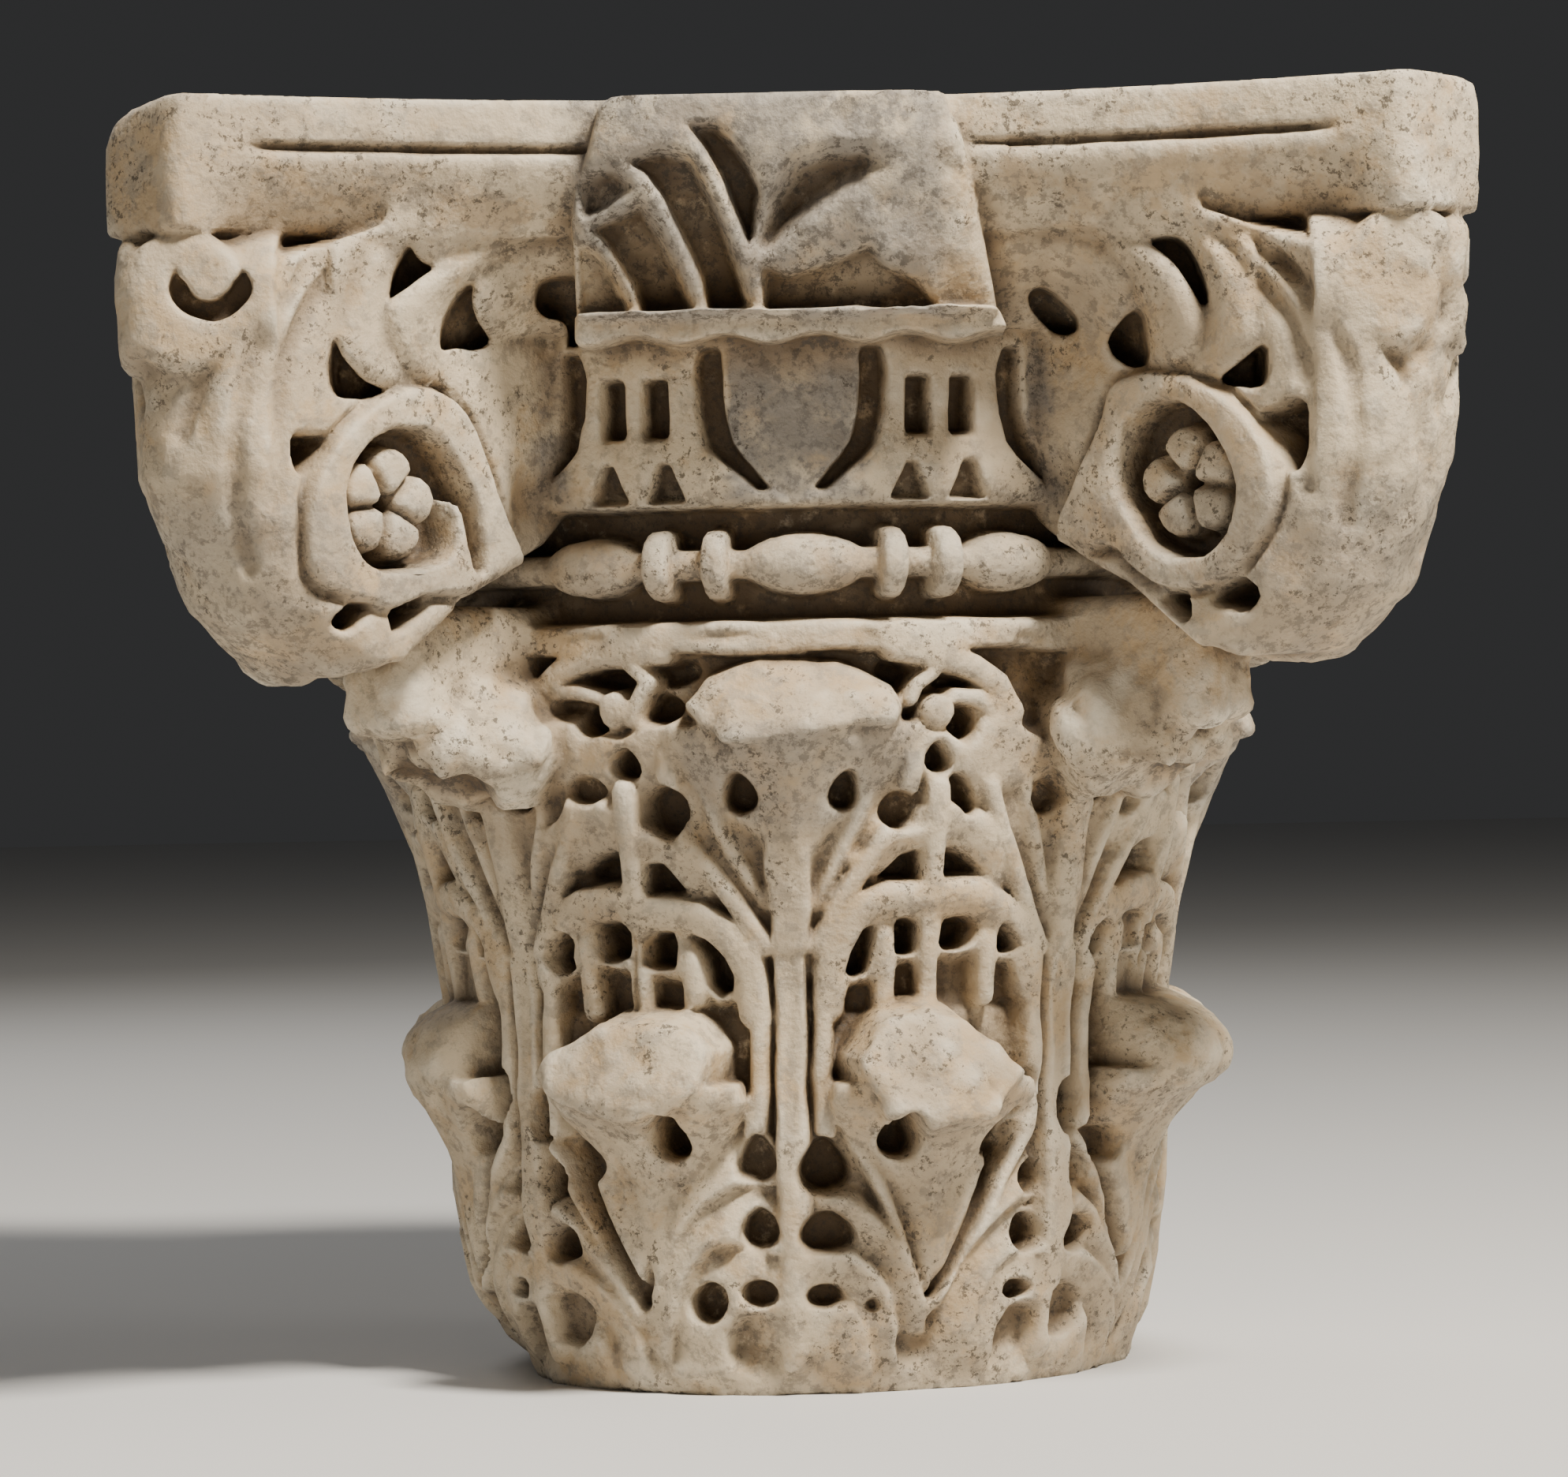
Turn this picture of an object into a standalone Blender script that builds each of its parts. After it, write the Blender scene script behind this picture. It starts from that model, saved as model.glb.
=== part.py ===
# Marble capital: leaf bell, bead and egg rings, corner volutes, fleurons and a hollow sided abacus.
# Metres, Z up, the photographed side faces -Y. Angles count from -Y towards +X, in degrees.
import math

import bmesh
import bpy
import numpy as np
from mathutils import Vector

OBJECT_NAME = "marble_capital"
NODE_NAME = "capital"

# Heights; the finished block is stretched from the top of the drawn profiles to HEIGHT
HEIGHT = 0.430
ABACUS_BOTTOM = 0.387
ABACUS_TOP = ABACUS_BOTTOM + 0.043
GROOVE_BOTTOM = ABACUS_BOTTOM + 0.025
GROOVE_TOP = GROOVE_BOTTOM + 0.004
ECHINUS_BOTTOM = 0.299
ECHINUS_TOP = 0.357
BEAD_CENTRE = 0.280
RIM_BOTTOM = 0.246
RIM_TOP = 0.261

# Radii of the round core
RIM_RADIUS = 0.148
NECK_RADIUS = 0.134
BEAD_AXIS_RADIUS = 0.144
ECHINUS_RADIUS = 0.153
DRUM_RADIUS = 0.128
BASE_RADIUS = 0.118

# Widths of the bead ring, measured from the ring axis
BEAD_HALF = 0.0100
REEL_HALF = 0.0122
ROD_HALF = 0.0050

# Depths of the carving below the ridges of the bell
LEAF_SINK = 0.0075
FOOT_CHIP = 0.012
HOLE_SINK = 0.0190
EGG_GROOVE = 0.0090
DART_SLOT = 0.0110

# Leaf spacing
LEAF_STEP = 45.0
LEAF_YAW = -3.0
HALF_STEP = LEAF_STEP / 2

# Abacus plan
ABACUS_HALF = 0.2225
ABACUS_CUT = 0.0275
ABACUS_SAG = 0.045
GROOVE_DEPTH = 0.004
GROOVE_START = 0.065
GROOVE_END = 0.172
ARC_STEPS = 12

# Volutes, in the upright plane through each diagonal
VOLUTE_HALF = 0.035
VOLUTE_RHO = 0.216
VOLUTE_Z = 0.300
RING_INNER = 0.027
RING_OUTER = 0.0375
RING_SWELL = 0.0025
RING_PROUD = 0.0025
RECESS_FLOOR = 0.019
ROSETTE_RADIUS = 0.0205
ROSETTE_TOP = 0.033
PETALS = 5

# Fleuron block in the middle of each side
FLEURON_BOTTOM = 0.353
FLEURON_BACK = 0.115
FLEURON_FRONT = 0.194

# Meshing
CORE_COLUMNS = 288
CORE_TARGET = 3700
OVERLAP = 0.006
SLIVER = 0.00001
NUDGES = (0.0, 0.00004, -0.00007, 0.00012)
TRIANGLE_LIMIT = 11500


def smooth(value, low, high):
    """Rise from 0 at low to 1 at high."""
    step = np.clip((value - low) / (high - low), 0.0, 1.0)
    return step * step * (3.0 - 2.0 * step)


def window(value, low, high, soft):
    """One between low and high, falling to zero over soft."""
    return smooth(value, low - soft, low) * (1.0 - smooth(value, high, high + soft))


def blend(old, new, mask):
    """Move old to new where mask is one."""
    return old + (new - old) * mask


def oval(x, y, half_x, half_y):
    """A round mask: one in the middle, zero outside the oval."""
    return 1.0 - smooth(np.hypot(x / half_x, y / half_y), 0.62, 1.05)


# Leaf bell

# Ridge radius of the bell against height
BELL_PROFILE = (
    (0.000, 0.0330, 0.0616, 0.1327, 0.1610, 0.190, 0.210, 0.246, 0.262),
    (BASE_RADIUS, 0.125, 0.1286, 0.1306, 0.1350, 0.1425, 0.1460, 0.1475, 0.1475),
)
# Half width in degrees of the lower leaf, from its own axis
LOWER_LEAF = ((0.034, 0.050, 0.069, 0.081, 0.100, 0.130), (0.0, 2.7, 5.5, 8.2, 9.3, 9.0))
# Half width in degrees of the upper leaf blade
UPPER_LEAF = ((0.150, 0.159, 0.172, 0.190, 0.210, 0.225), (2.8, 4.5, 8.0, 13.0, 17.0, 17.0))
# Upper and lower edge of the band that arches over the lower leaf, against the angle
ARCH_TOP = ((5.5, 6.6, 8.0, 11.5, 15.6, 22.5), (0.135, 0.150, 0.161, 0.171, 0.174, 0.172))
ARCH_FOOT = ((7.6, 8.4, 10.0, 13.0, 22.5), (0.130, 0.147, 0.154, 0.158, 0.158))
# Radius of the turned over leaf tips against height
LOWER_TIP = (
    (0.066, 0.080, 0.090, 0.100, 0.107, 0.115, 0.122, 0.127, 0.131),
    (0.126, 0.137, 0.147, 0.157, 0.161, 0.160, 0.153, 0.142, 0.120),
)
UPPER_TIP = ((0.192, 0.204, 0.222, 0.247, 0.251), (0.138, 0.150, 0.165, 0.139, 0.130))
CORNER_TIP = (
    (0.180, 0.198, 0.207, 0.220, 0.238, 0.246, 0.252),
    (0.138, 0.156, 0.176, 0.190, 0.189, 0.180, 0.140),
)
# Drilled pockets: angle from the upper leaf axis, height, half angle, half height, full depth share
POCKETS = (
    (10.4, 0.1455, 2.9, 0.0095, 1.00),
    (18.7, 0.1510, 2.6, 0.0080, 1.00),
    (17.8, 0.1775, 3.4, 0.0065, 0.90),
    (16.2, 0.1960, 3.2, 0.0070, 0.90),
    (21.8, 0.2150, 2.4, 0.0060, 0.80),
    (18.4, 0.2260, 2.2, 0.0065, 0.80),
    (17.0, 0.2410, 3.6, 0.0055, 0.90),
    (5.2, 0.0790, 2.8, 0.0100, 0.85),
    (5.3, 0.0565, 2.8, 0.0075, 0.80),
    (5.4, 0.0345, 2.6, 0.0050, 0.65),
    (14.0, 0.0310, 2.6, 0.0060, 0.60),
    (11.3, 0.1070, 3.2, 0.0070, 0.80),
)
# Which of them the plainer sides have too, and where the fully carved front ends
PLAIN_POCKETS = (0, 1, 3, 7)
FRONT_REACH = 70.0
# Eyes beside the leaf tips: angle from the upper leaf axis, height, half angle, half height
UPPER_EYE = (8.5, 0.2035, 2.3, 0.0080)
LOWER_EYE = (HALF_STEP - 5.2, 0.0895, 2.6, 0.0085)
# How far each lower tip stands out, by the angle of its own axis: the rest are as the first
TIP_REACH = 0.86
TIP_REACH_SIDE = {67.5: 1.0, -67.5: 0.70}


def table(pair, value):
    """Read a two row table with straight lines between its entries."""
    return np.interp(value, pair[0], pair[1])


def leaf_angle(theta):
    """Angle from the nearest upper leaf axis; the two front contact lines are a little off."""
    knots = []
    marks = []
    for step in range(-8, 10):
        mark = step * HALF_STEP
        knot = mark + LEAF_YAW
        if step == -1:
            knot += 1.0
        if step == 1:
            knot -= 2.0
        knots.append(knot)
        marks.append(mark)
    value = np.interp(theta, knots, marks)
    return np.mod(value + HALF_STEP, LEAF_STEP) - HALF_STEP


def bell_radius(theta, z):
    phi = np.abs(leaf_angle(theta))
    low = HALF_STEP - phi
    sink = np.full(z.shape, LEAF_SINK)

    # Lobes of the lower leaf and of the leaf behind it stand a little above the ground
    sink = blend(sink, 0.55 * LEAF_SINK, window(z, 0.010, 0.118, 0.006))
    sink = blend(sink, 0.50 * LEAF_SINK, window(phi, 13.0, 22.5, 1.0) * window(z, 0.183, 0.232, 0.002))

    # Blade of the upper leaf, with its midrib
    half = table(UPPER_LEAF, z)
    blade = (1.0 - smooth(phi, half - 0.6, half + 0.9)) * smooth(z, 0.150, 0.158)
    sink = blend(sink, 0.25 * LEAF_SINK, blade)
    sink = blend(sink, 0.60 * LEAF_SINK, window(phi, 2.4, 3.4, 0.9) * window(z, 0.165, 0.205, 0.006))

    # Arch band over the lower leaf
    arch = smooth(z, table(ARCH_FOOT, phi) - 0.001, table(ARCH_FOOT, phi) + 0.002)
    arch = arch * (1.0 - smooth(z, table(ARCH_TOP, phi) - 0.001, table(ARCH_TOP, phi) + 0.002))
    arch = arch * smooth(phi, 5.0, 6.2)
    sink = blend(sink, 0.15 * LEAF_SINK, arch)

    # Body of the lower leaf inside its two slanted grooves
    half = table(LOWER_LEAF, z)
    inside = (1.0 - smooth(low, half - 0.4, half + 0.6)) * window(z, 0.034, 0.128, 0.004)
    sink = blend(sink, (0.15 + 0.35 * (low / 9.5) ** 2) * LEAF_SINK, inside)
    groove = oval(low - half - 0.9, 0.0, 1.5, 1.0) * window(z, 0.040, 0.084, 0.004)
    sink = blend(sink, 1.25 * LEAF_SINK, groove)

    # Stem of the upper leaf and the upright on the contact line
    rib = window(phi, 2.8, 5.0, 0.7) * window(z, 0.062, 0.150, 0.010)
    sink = blend(sink, 0.40 * LEAF_SINK, rib)
    stem = (1.0 - smooth(phi, 2.1, 3.1)) * (1.0 - smooth(z, 0.160, 0.172))
    sink = blend(sink, 0.05 * LEAF_SINK + 0.35 * LEAF_SINK * (1.0 - smooth(z, 0.0, 0.030)), stem)
    upright = (1.0 - smooth(low, 0.9, 1.9)) * window(z, 0.130, 0.208, 0.003)
    sink = blend(sink, 0.20 * LEAF_SINK, upright)

    # Drilled pockets, all of them on the front and only the larger ones on the plainer sides
    front = np.abs(theta) < FRONT_REACH
    for number, (angle, height, half_angle, half_height, share) in enumerate(POCKETS):
        hole = oval(phi - angle, z - height, half_angle, half_height)
        if number not in PLAIN_POCKETS:
            hole = hole * front
        sink = np.maximum(sink, hole * HOLE_SINK * share)
    radius = table(BELL_PROFILE, z) - sink

    # Rim of the bell
    rim = window(z, RIM_BOTTOM, RIM_TOP, 0.002)
    radius = np.maximum(radius, RIM_RADIUS * rim)

    # Turned over tips of the lower leaves
    reach = np.full(z.shape, TIP_REACH)
    for axis, share in TIP_REACH_SIDE.items():
        reach = np.where(np.abs(theta - axis) < 14.0, share, reach)
    ground = table(BELL_PROFILE, z) - 0.004
    across = np.sqrt(np.clip(1.0 - (low / 10.0) ** 2, 0.0, 1.0))
    tip = ground + (table(LOWER_TIP, z) - ground) * reach * across ** 0.8
    radius = np.where((low < 10.0) & (z > 0.066) & (z < 0.131), np.maximum(radius, tip), radius)

    # Broken tips of the upper leaves on the four faces
    face = np.mod(theta - LEAF_YAW + 45.0, 90.0) - 45.0
    across = np.clip(1.0 - (face / 13.8) ** 4, 0.0, 1.0)
    tip = ground + (table(UPPER_TIP, z) - ground) * across
    radius = np.where((np.abs(face) < 13.8) & (z > 0.192) & (z < 0.251), np.maximum(radius, tip), radius)

    # Curled tips of the upper leaves under the four volutes
    corner = np.mod(theta, 90.0) - 45.0
    across = np.sqrt(np.clip(1.0 - (corner / 11.0) ** 2, 0.0, 1.0))
    tip = ground + (table(CORNER_TIP, z) - ground) * across
    radius = np.where((np.abs(corner) < 11.0) & (z > 0.180) & (z < 0.252), np.maximum(radius, tip), radius)

    # Eyes beside the tips
    for angle, height, half_angle, half_height in (UPPER_EYE, LOWER_EYE):
        hole = oval(phi - angle, z - height, half_angle, half_height)
        radius = radius - hole * 0.6 * HOLE_SINK * front

    # Worn foot, chipped most on the left
    wear = 0.0024 + 0.0014 * np.sin(np.radians(3.0 * theta + 40.0)) + 0.0008 * np.sin(np.radians(7.0 * theta))
    radius = radius - wear * (1.0 - smooth(z, 0.0, 0.016))
    chip = FOOT_CHIP * (1.0 - smooth(np.abs(theta + 88.0), 8.0, 46.0))
    return radius - chip * (1.0 - smooth(z, 0.0, 0.034))


# Bead ring

def bead_ring_radius(theta, z):
    """Hollow above the rim with the thin rod; away from the front its beads are part of the core."""
    side = np.abs(np.mod(theta + 45.0, 90.0) - 45.0)
    half = np.zeros(z.shape)
    for spot, span in zip(BEAD_SPOTS[1:], BEAD_SPANS[1:]):
        half = np.maximum(half, BEAD_HALF * np.sqrt(np.clip(1.0 - ((side - spot) / span) ** 2, 0.0, 1.0)))
    for spot in REEL_SPOTS[2:]:
        half = np.maximum(half, REEL_HALF * window(side, spot - 1.6, spot + 1.6, 0.4))
    half = np.where(np.abs(theta) < 45.0, 0.0, half)
    half = np.maximum(half, ROD_HALF)
    rise = np.clip(half ** 2 - (z - BEAD_CENTRE) ** 2, 0.0, None)
    return np.where(rise > 0.0, BEAD_AXIS_RADIUS + np.sqrt(rise), NECK_RADIUS)


BEAD_SPOTS = (-28.7, 0.0, 28.7)
BEAD_SPANS = (7.9, 9.2, 7.9)
REEL_SPOTS = (-18.7, -12.0, 12.0, 18.7)
REEL_WIDTH = 0.0085


# Egg and dart ring

EGG_HALF = ((0.300, 0.303, 0.310, 0.320, 0.330, 0.352), (0.2, 1.4, 4.3, 7.2, 8.1, 8.7))
EGG_STEP = 39.4
SHAFT_HALF = 1.4


def echinus_radius(theta, z):
    side = np.abs(np.mod(theta + 45.0, 90.0) - 45.0)
    egg = np.minimum(side, np.abs(side - EGG_STEP))
    dart = np.abs(side - EGG_STEP / 2)
    half = table(EGG_HALF, z)
    sink = np.full(z.shape, 0.0015)

    # Groove round each egg, then the husk that follows it
    groove = window(egg, half + 0.5, half + 2.5, 0.5) * window(z, 0.303, 0.350, 0.002)
    sink = blend(sink, EGG_GROOVE, groove)

    # Two slots beside the dart shaft and the hollow under its barbs
    slots = window(dart, SHAFT_HALF + 0.3, SHAFT_HALF + 3.0, 0.4) * window(z, 0.322, 0.345, 0.002)
    sink = np.maximum(sink, DART_SLOT * slots)
    under = window(dart, 1.6, 5.2, 0.6) * window(z, 0.302, 0.311, 0.002)
    sink = np.maximum(sink, 0.8 * EGG_GROOVE * under)

    # The broken egg faces stand back a little at the foot
    foot = 0.004 * (1.0 - smooth(z, ECHINUS_BOTTOM, 0.325))
    return ECHINUS_RADIUS - sink - foot


def core_radius(theta, z):
    radius = np.full(z.shape, DRUM_RADIUS)
    radius = np.where(z <= ECHINUS_TOP, echinus_radius(theta, z), radius)
    radius = np.where(z < ECHINUS_BOTTOM, bead_ring_radius(theta, z), radius)
    return np.where(z <= RIM_TOP + 0.0005, bell_radius(theta, z), radius)


def core_heights():
    """Rows of the core, closer together on the rings, doubled at the sharp steps."""
    rows = list(np.arange(-OVERLAP, RIM_TOP - 0.001, 0.0025))
    rows += [RIM_TOP, RIM_TOP + 0.001]
    rows += list(np.arange(RIM_TOP + 0.003, ECHINUS_BOTTOM - 0.001, 0.0015))
    rows += [ECHINUS_BOTTOM - 0.0008, ECHINUS_BOTTOM]
    rows += list(np.arange(ECHINUS_BOTTOM + 0.002, ECHINUS_TOP - 0.001, 0.002))
    rows += [ECHINUS_TOP, ECHINUS_TOP + 0.001]
    rows += [0.370, ABACUS_BOTTOM + OVERLAP]
    return rows


# Building helpers

def clear_scene():
    for item in list(bpy.data.objects):
        bpy.data.objects.remove(item, do_unlink=True)
    for item in list(bpy.data.meshes):
        bpy.data.meshes.remove(item)


def new_object(name, bm):
    bmesh.ops.recalc_face_normals(bm, faces=bm.faces)
    mesh = bpy.data.meshes.new(name)
    bm.to_mesh(mesh)
    bm.free()
    item = bpy.data.objects.new(name, mesh)
    bpy.context.scene.collection.objects.link(item)
    return item


def bake_modifiers(item):
    """Keep the result of the object's modifiers as its own mesh."""
    bpy.context.view_layer.update()
    graph = bpy.context.evaluated_depsgraph_get()
    mesh = bpy.data.meshes.new_from_object(item.evaluated_get(graph))
    item.modifiers.clear()
    old = item.data
    item.data = mesh
    bpy.data.meshes.remove(old)


def boolean(item, others, operation):
    """Join or cut with several bodies in one step, then take them away."""
    tools = bpy.data.collections.new("tools")
    bpy.context.scene.collection.children.link(tools)
    for other in others:
        bpy.context.scene.collection.objects.unlink(other)
        tools.objects.link(other)
    modifier = item.modifiers.new("join", "BOOLEAN")
    modifier.operation = operation
    modifier.solver = "EXACT"
    modifier.operand_type = "COLLECTION"
    modifier.collection = tools
    bake_modifiers(item)
    for other in others:
        bpy.data.objects.remove(other, do_unlink=True)
    bpy.data.collections.remove(tools)


def loft(name, rings, closed=False):
    """A closed body through equal rings of points, capped at both ends unless it runs round."""
    bm = bmesh.new()
    rows = [[bm.verts.new(point) for point in ring] for ring in rings]
    count = len(rows[0])
    pairs = list(zip(rows[:-1], rows[1:]))
    if closed:
        pairs.append((rows[-1], rows[0]))
    for first, second in pairs:
        for index in range(count):
            after = (index + 1) % count
            bm.faces.new((first[index], first[after], second[after], second[index]))
    if not closed:
        bm.faces.new(rows[0])
        bm.faces.new(rows[-1])
    return new_object(name, bm)


def cylinder(name, radius, depth, segments):
    bm = bmesh.new()
    bmesh.ops.create_cone(
        bm, cap_ends=True, segments=segments, radius1=radius, radius2=radius, depth=depth
    )
    return new_object(name, bm)


def place(item, move):
    """Move the mesh points by a function of x, y and z, and turn the faces outward again."""
    bm = bmesh.new()
    bm.from_mesh(item.data)
    for vertex in bm.verts:
        vertex.co = move(*vertex.co)
    bmesh.ops.recalc_face_normals(bm, faces=bm.faces)
    bm.to_mesh(item.data)
    bm.free()


def copy_turned(item, name, degrees):
    mesh = item.data.copy()
    turned = bpy.data.objects.new(name, mesh)
    bpy.context.scene.collection.objects.link(turned)
    angle = math.radians(degrees)
    for vertex in mesh.vertices:
        x, y, z = vertex.co
        vertex.co = (
            x * math.cos(angle) - y * math.sin(angle),
            x * math.sin(angle) + y * math.cos(angle),
            z,
        )
    return turned


# Core

def build_core():
    """Spin the rows round the axis, press the carving in, then thin the mesh out."""
    heights = core_heights()
    bm = bmesh.new()
    points = [(0.0, 0.0, heights[0])]
    points += [(BASE_RADIUS, 0.0, z) for z in heights]
    points += [(0.0, 0.0, heights[-1])]
    verts = [bm.verts.new(point) for point in points]
    edges = [bm.edges.new(pair) for pair in zip(verts[:-1], verts[1:])]
    bmesh.ops.spin(
        bm,
        geom=verts + edges,
        cent=(0.0, 0.0, 0.0),
        axis=(0.0, 0.0, 1.0),
        angle=2 * math.pi,
        steps=CORE_COLUMNS,
        use_merge=True,
    )
    bmesh.ops.remove_doubles(bm, verts=bm.verts, dist=0.00001)
    core = new_object("core", bm)

    mesh = core.data
    flat = np.empty(len(mesh.vertices) * 3)
    mesh.vertices.foreach_get("co", flat)
    xyz = flat.reshape(-1, 3)
    outside = np.hypot(xyz[:, 0], xyz[:, 1]) > 0.5 * BASE_RADIUS
    theta = np.degrees(np.arctan2(xyz[:, 0], -xyz[:, 1]))
    radius = core_radius(theta, xyz[:, 2])
    xyz[outside, 0] = (radius * np.sin(np.radians(theta)))[outside]
    xyz[outside, 1] = (-radius * np.cos(np.radians(theta)))[outside]
    mesh.vertices.foreach_set("co", xyz.reshape(-1))
    mesh.update()

    triangles = sum(len(face.vertices) - 2 for face in mesh.polygons)
    modifier = core.modifiers.new("thin", "DECIMATE")
    modifier.ratio = CORE_TARGET / triangles
    bake_modifiers(core)
    trim(core, 0.0)
    return core


def trim(item, height):
    """Cut off everything under a level plane and close the cut with one flat face."""
    bm = bmesh.new()
    bm.from_mesh(item.data)
    geom = list(bm.verts) + list(bm.edges) + list(bm.faces)
    bmesh.ops.bisect_plane(
        bm, geom=geom, plane_co=(0, 0, height), plane_no=(0, 0, -1), clear_outer=True, dist=0.00001
    )
    rim = [edge for edge in bm.edges if edge.is_boundary]
    bmesh.ops.edgeloop_fill(bm, edges=rim)
    bmesh.ops.recalc_face_normals(bm, faces=bm.faces)
    bm.to_mesh(item.data)
    bm.free()


# Abacus

def abacus_outline(inset, groove):
    """Plan of the abacus: four hollow sides with the corners cut off."""
    half = ABACUS_HALF - ABACUS_CUT
    radius = (half ** 2 + ABACUS_SAG ** 2) / (2 * ABACUS_SAG)
    points = []
    for quarter in range(4):
        turn = math.radians(90.0 * quarter)
        for step in range(ARC_STEPS + 1):
            along = -half + 2 * half * step / ARC_STEPS
            out = ABACUS_HALF - ABACUS_SAG + radius - math.sqrt(radius ** 2 - along ** 2)
            depth = inset
            if GROOVE_START < abs(along) < GROOVE_END:
                depth += groove
            along *= 1.0 - 0.5 * inset / half
            x = along
            y = -(out - depth)
            points.append((x * math.cos(turn) - y * math.sin(turn), x * math.sin(turn) + y * math.cos(turn)))
    return points


def build_abacus():
    levels = (
        (ABACUS_BOTTOM, 0.007, 0.0),
        (ABACUS_BOTTOM + 0.004, 0.002, 0.0),
        (GROOVE_BOTTOM, 0.0, 0.0),
        (GROOVE_BOTTOM + 0.0020, 0.0, GROOVE_DEPTH),
        (GROOVE_TOP, 0.0, 0.0),
        (ABACUS_TOP, 0.001, 0.0),
    )
    rings = [[(x, y, z) for x, y in abacus_outline(inset, groove)] for z, inset, groove in levels]
    return loft("abacus", rings)


# Volutes: built once along +X, then turned to the four diagonals

# Height, inner end, middle of the rounded nose, half thickness
VOLUTE_ROWS = (
    (0.2437, 0.196, 0.206, 0.020),
    (0.2485, 0.190, 0.212, 0.030),
    (0.2560, 0.188, 0.222, 0.0345),
    (0.2662, 0.180, 0.2345, VOLUTE_HALF),
    (0.2870, 0.145, 0.2435, VOLUTE_HALF),
    (0.3095, 0.115, 0.2555, VOLUTE_HALF),
    (0.3370, 0.115, 0.2555, VOLUTE_HALF),
    (0.3650, 0.115, 0.2575, VOLUTE_HALF),
    (ABACUS_BOTTOM + OVERLAP, 0.115, 0.2600, VOLUTE_HALF - 0.001),
)
NOSE_STEPS = 6
# Pockets cut in both faces of a volute: distance out, height, half sizes, slant in degrees
VOLUTE_POCKETS = (
    (0.2095, 0.3715, 0.0065, 0.0125, -25.0),
    (0.1905, 0.3555, 0.0060, 0.0130, -35.0),
    (0.1575, 0.3660, 0.0110, 0.0060, -20.0),
    (0.2345, 0.3455, 0.0045, 0.0125, 40.0),
    (0.2520, 0.3180, 0.0070, 0.0125, 20.0),
    (0.2300, 0.2655, 0.0110, 0.0050, -10.0),
)
# Hollow between the top of the covering leaf and the abacus
UNDERCUT = (
    (0.232, ABACUS_BOTTOM + 0.0015),
    (0.252, ABACUS_BOTTOM - 0.0070),
    (0.302, ABACUS_BOTTOM - 0.0270),
    (0.302, ABACUS_BOTTOM + 0.0015),
)
POCKET_DEPTH = 0.010


def volute_section(inner, middle, half):
    points = [(inner, -half), (inner, half)]
    for step in range(NOSE_STEPS + 1):
        angle = math.pi / 2 - math.pi * step / NOSE_STEPS
        points.append((middle + half * math.cos(angle), half * math.sin(angle)))
    return points


def ring_outer(angle):
    return RING_OUTER + RING_SWELL * math.cos(angle)


def face_prism(name, outline, low, high):
    """Prism with an outline in the volute's face plane, from low to high across it."""
    return loft(name, [[(rho, low, z) for rho, z in outline], [(rho, high, z) for rho, z in outline]])


def turned_oval(centre, half_rho, half_z, slant, steps):
    points = []
    for step in range(steps):
        angle = 2 * math.pi * step / steps
        x = half_rho * math.cos(angle)
        z = half_z * math.sin(angle)
        lean = math.radians(slant)
        points.append((
            centre[0] + x * math.cos(lean) - z * math.sin(lean),
            centre[1] + x * math.sin(lean) + z * math.cos(lean),
        ))
    return points


def build_ring(side, steps):
    """Spiral ring round the rosette."""
    rings = []
    for step in range(steps):
        angle = 2 * math.pi * step / steps
        section = []
        for radius, across in (
            (RING_INNER, RECESS_FLOOR - 0.004),
            (ring_outer(angle), RECESS_FLOOR - 0.004),
            (ring_outer(angle), VOLUTE_HALF + RING_PROUD - 0.001),
            (RING_INNER, VOLUTE_HALF + RING_PROUD),
        ):
            section.append((
                VOLUTE_RHO + radius * math.cos(angle),
                side * across,
                VOLUTE_Z + radius * math.sin(angle),
            ))
        rings.append(section)
    return loft("ring", rings, closed=True)


def build_strap(side):
    """Flat band from the ring down to the bead ring, beside the outer egg."""
    outline = ((0.1480, 0.2860), (0.1620, 0.2830), (0.1850, 0.3090), (0.1990, 0.3350), (0.1830, 0.3350))
    low = RECESS_FLOOR
    high = VOLUTE_HALF + RING_PROUD - 0.0005
    return face_prism("strap", outline, side * low, side * high)


def build_rosette(side):
    """Flower of round petals with a drilled eye."""
    steps = PETALS * 2
    levels = (
        (1.00, RECESS_FLOOR - 0.004),
        (0.96, ROSETTE_TOP - 0.005),
        (0.62, ROSETTE_TOP),
        (0.18, ROSETTE_TOP - 0.005),
    )
    rings = []
    for scale, across in levels:
        ring = []
        for step in range(steps):
            angle = 2 * math.pi * step / steps + 0.3
            lobe = 0.78 if step % 2 == 0 else 1.0
            if scale < 0.5:
                lobe = 1.0
            radius = ROSETTE_RADIUS * scale * lobe
            ring.append((
                VOLUTE_RHO + radius * math.cos(angle),
                side * across,
                VOLUTE_Z + radius * math.sin(angle),
            ))
        rings.append(ring)
    return loft("rosette", rings)


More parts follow.
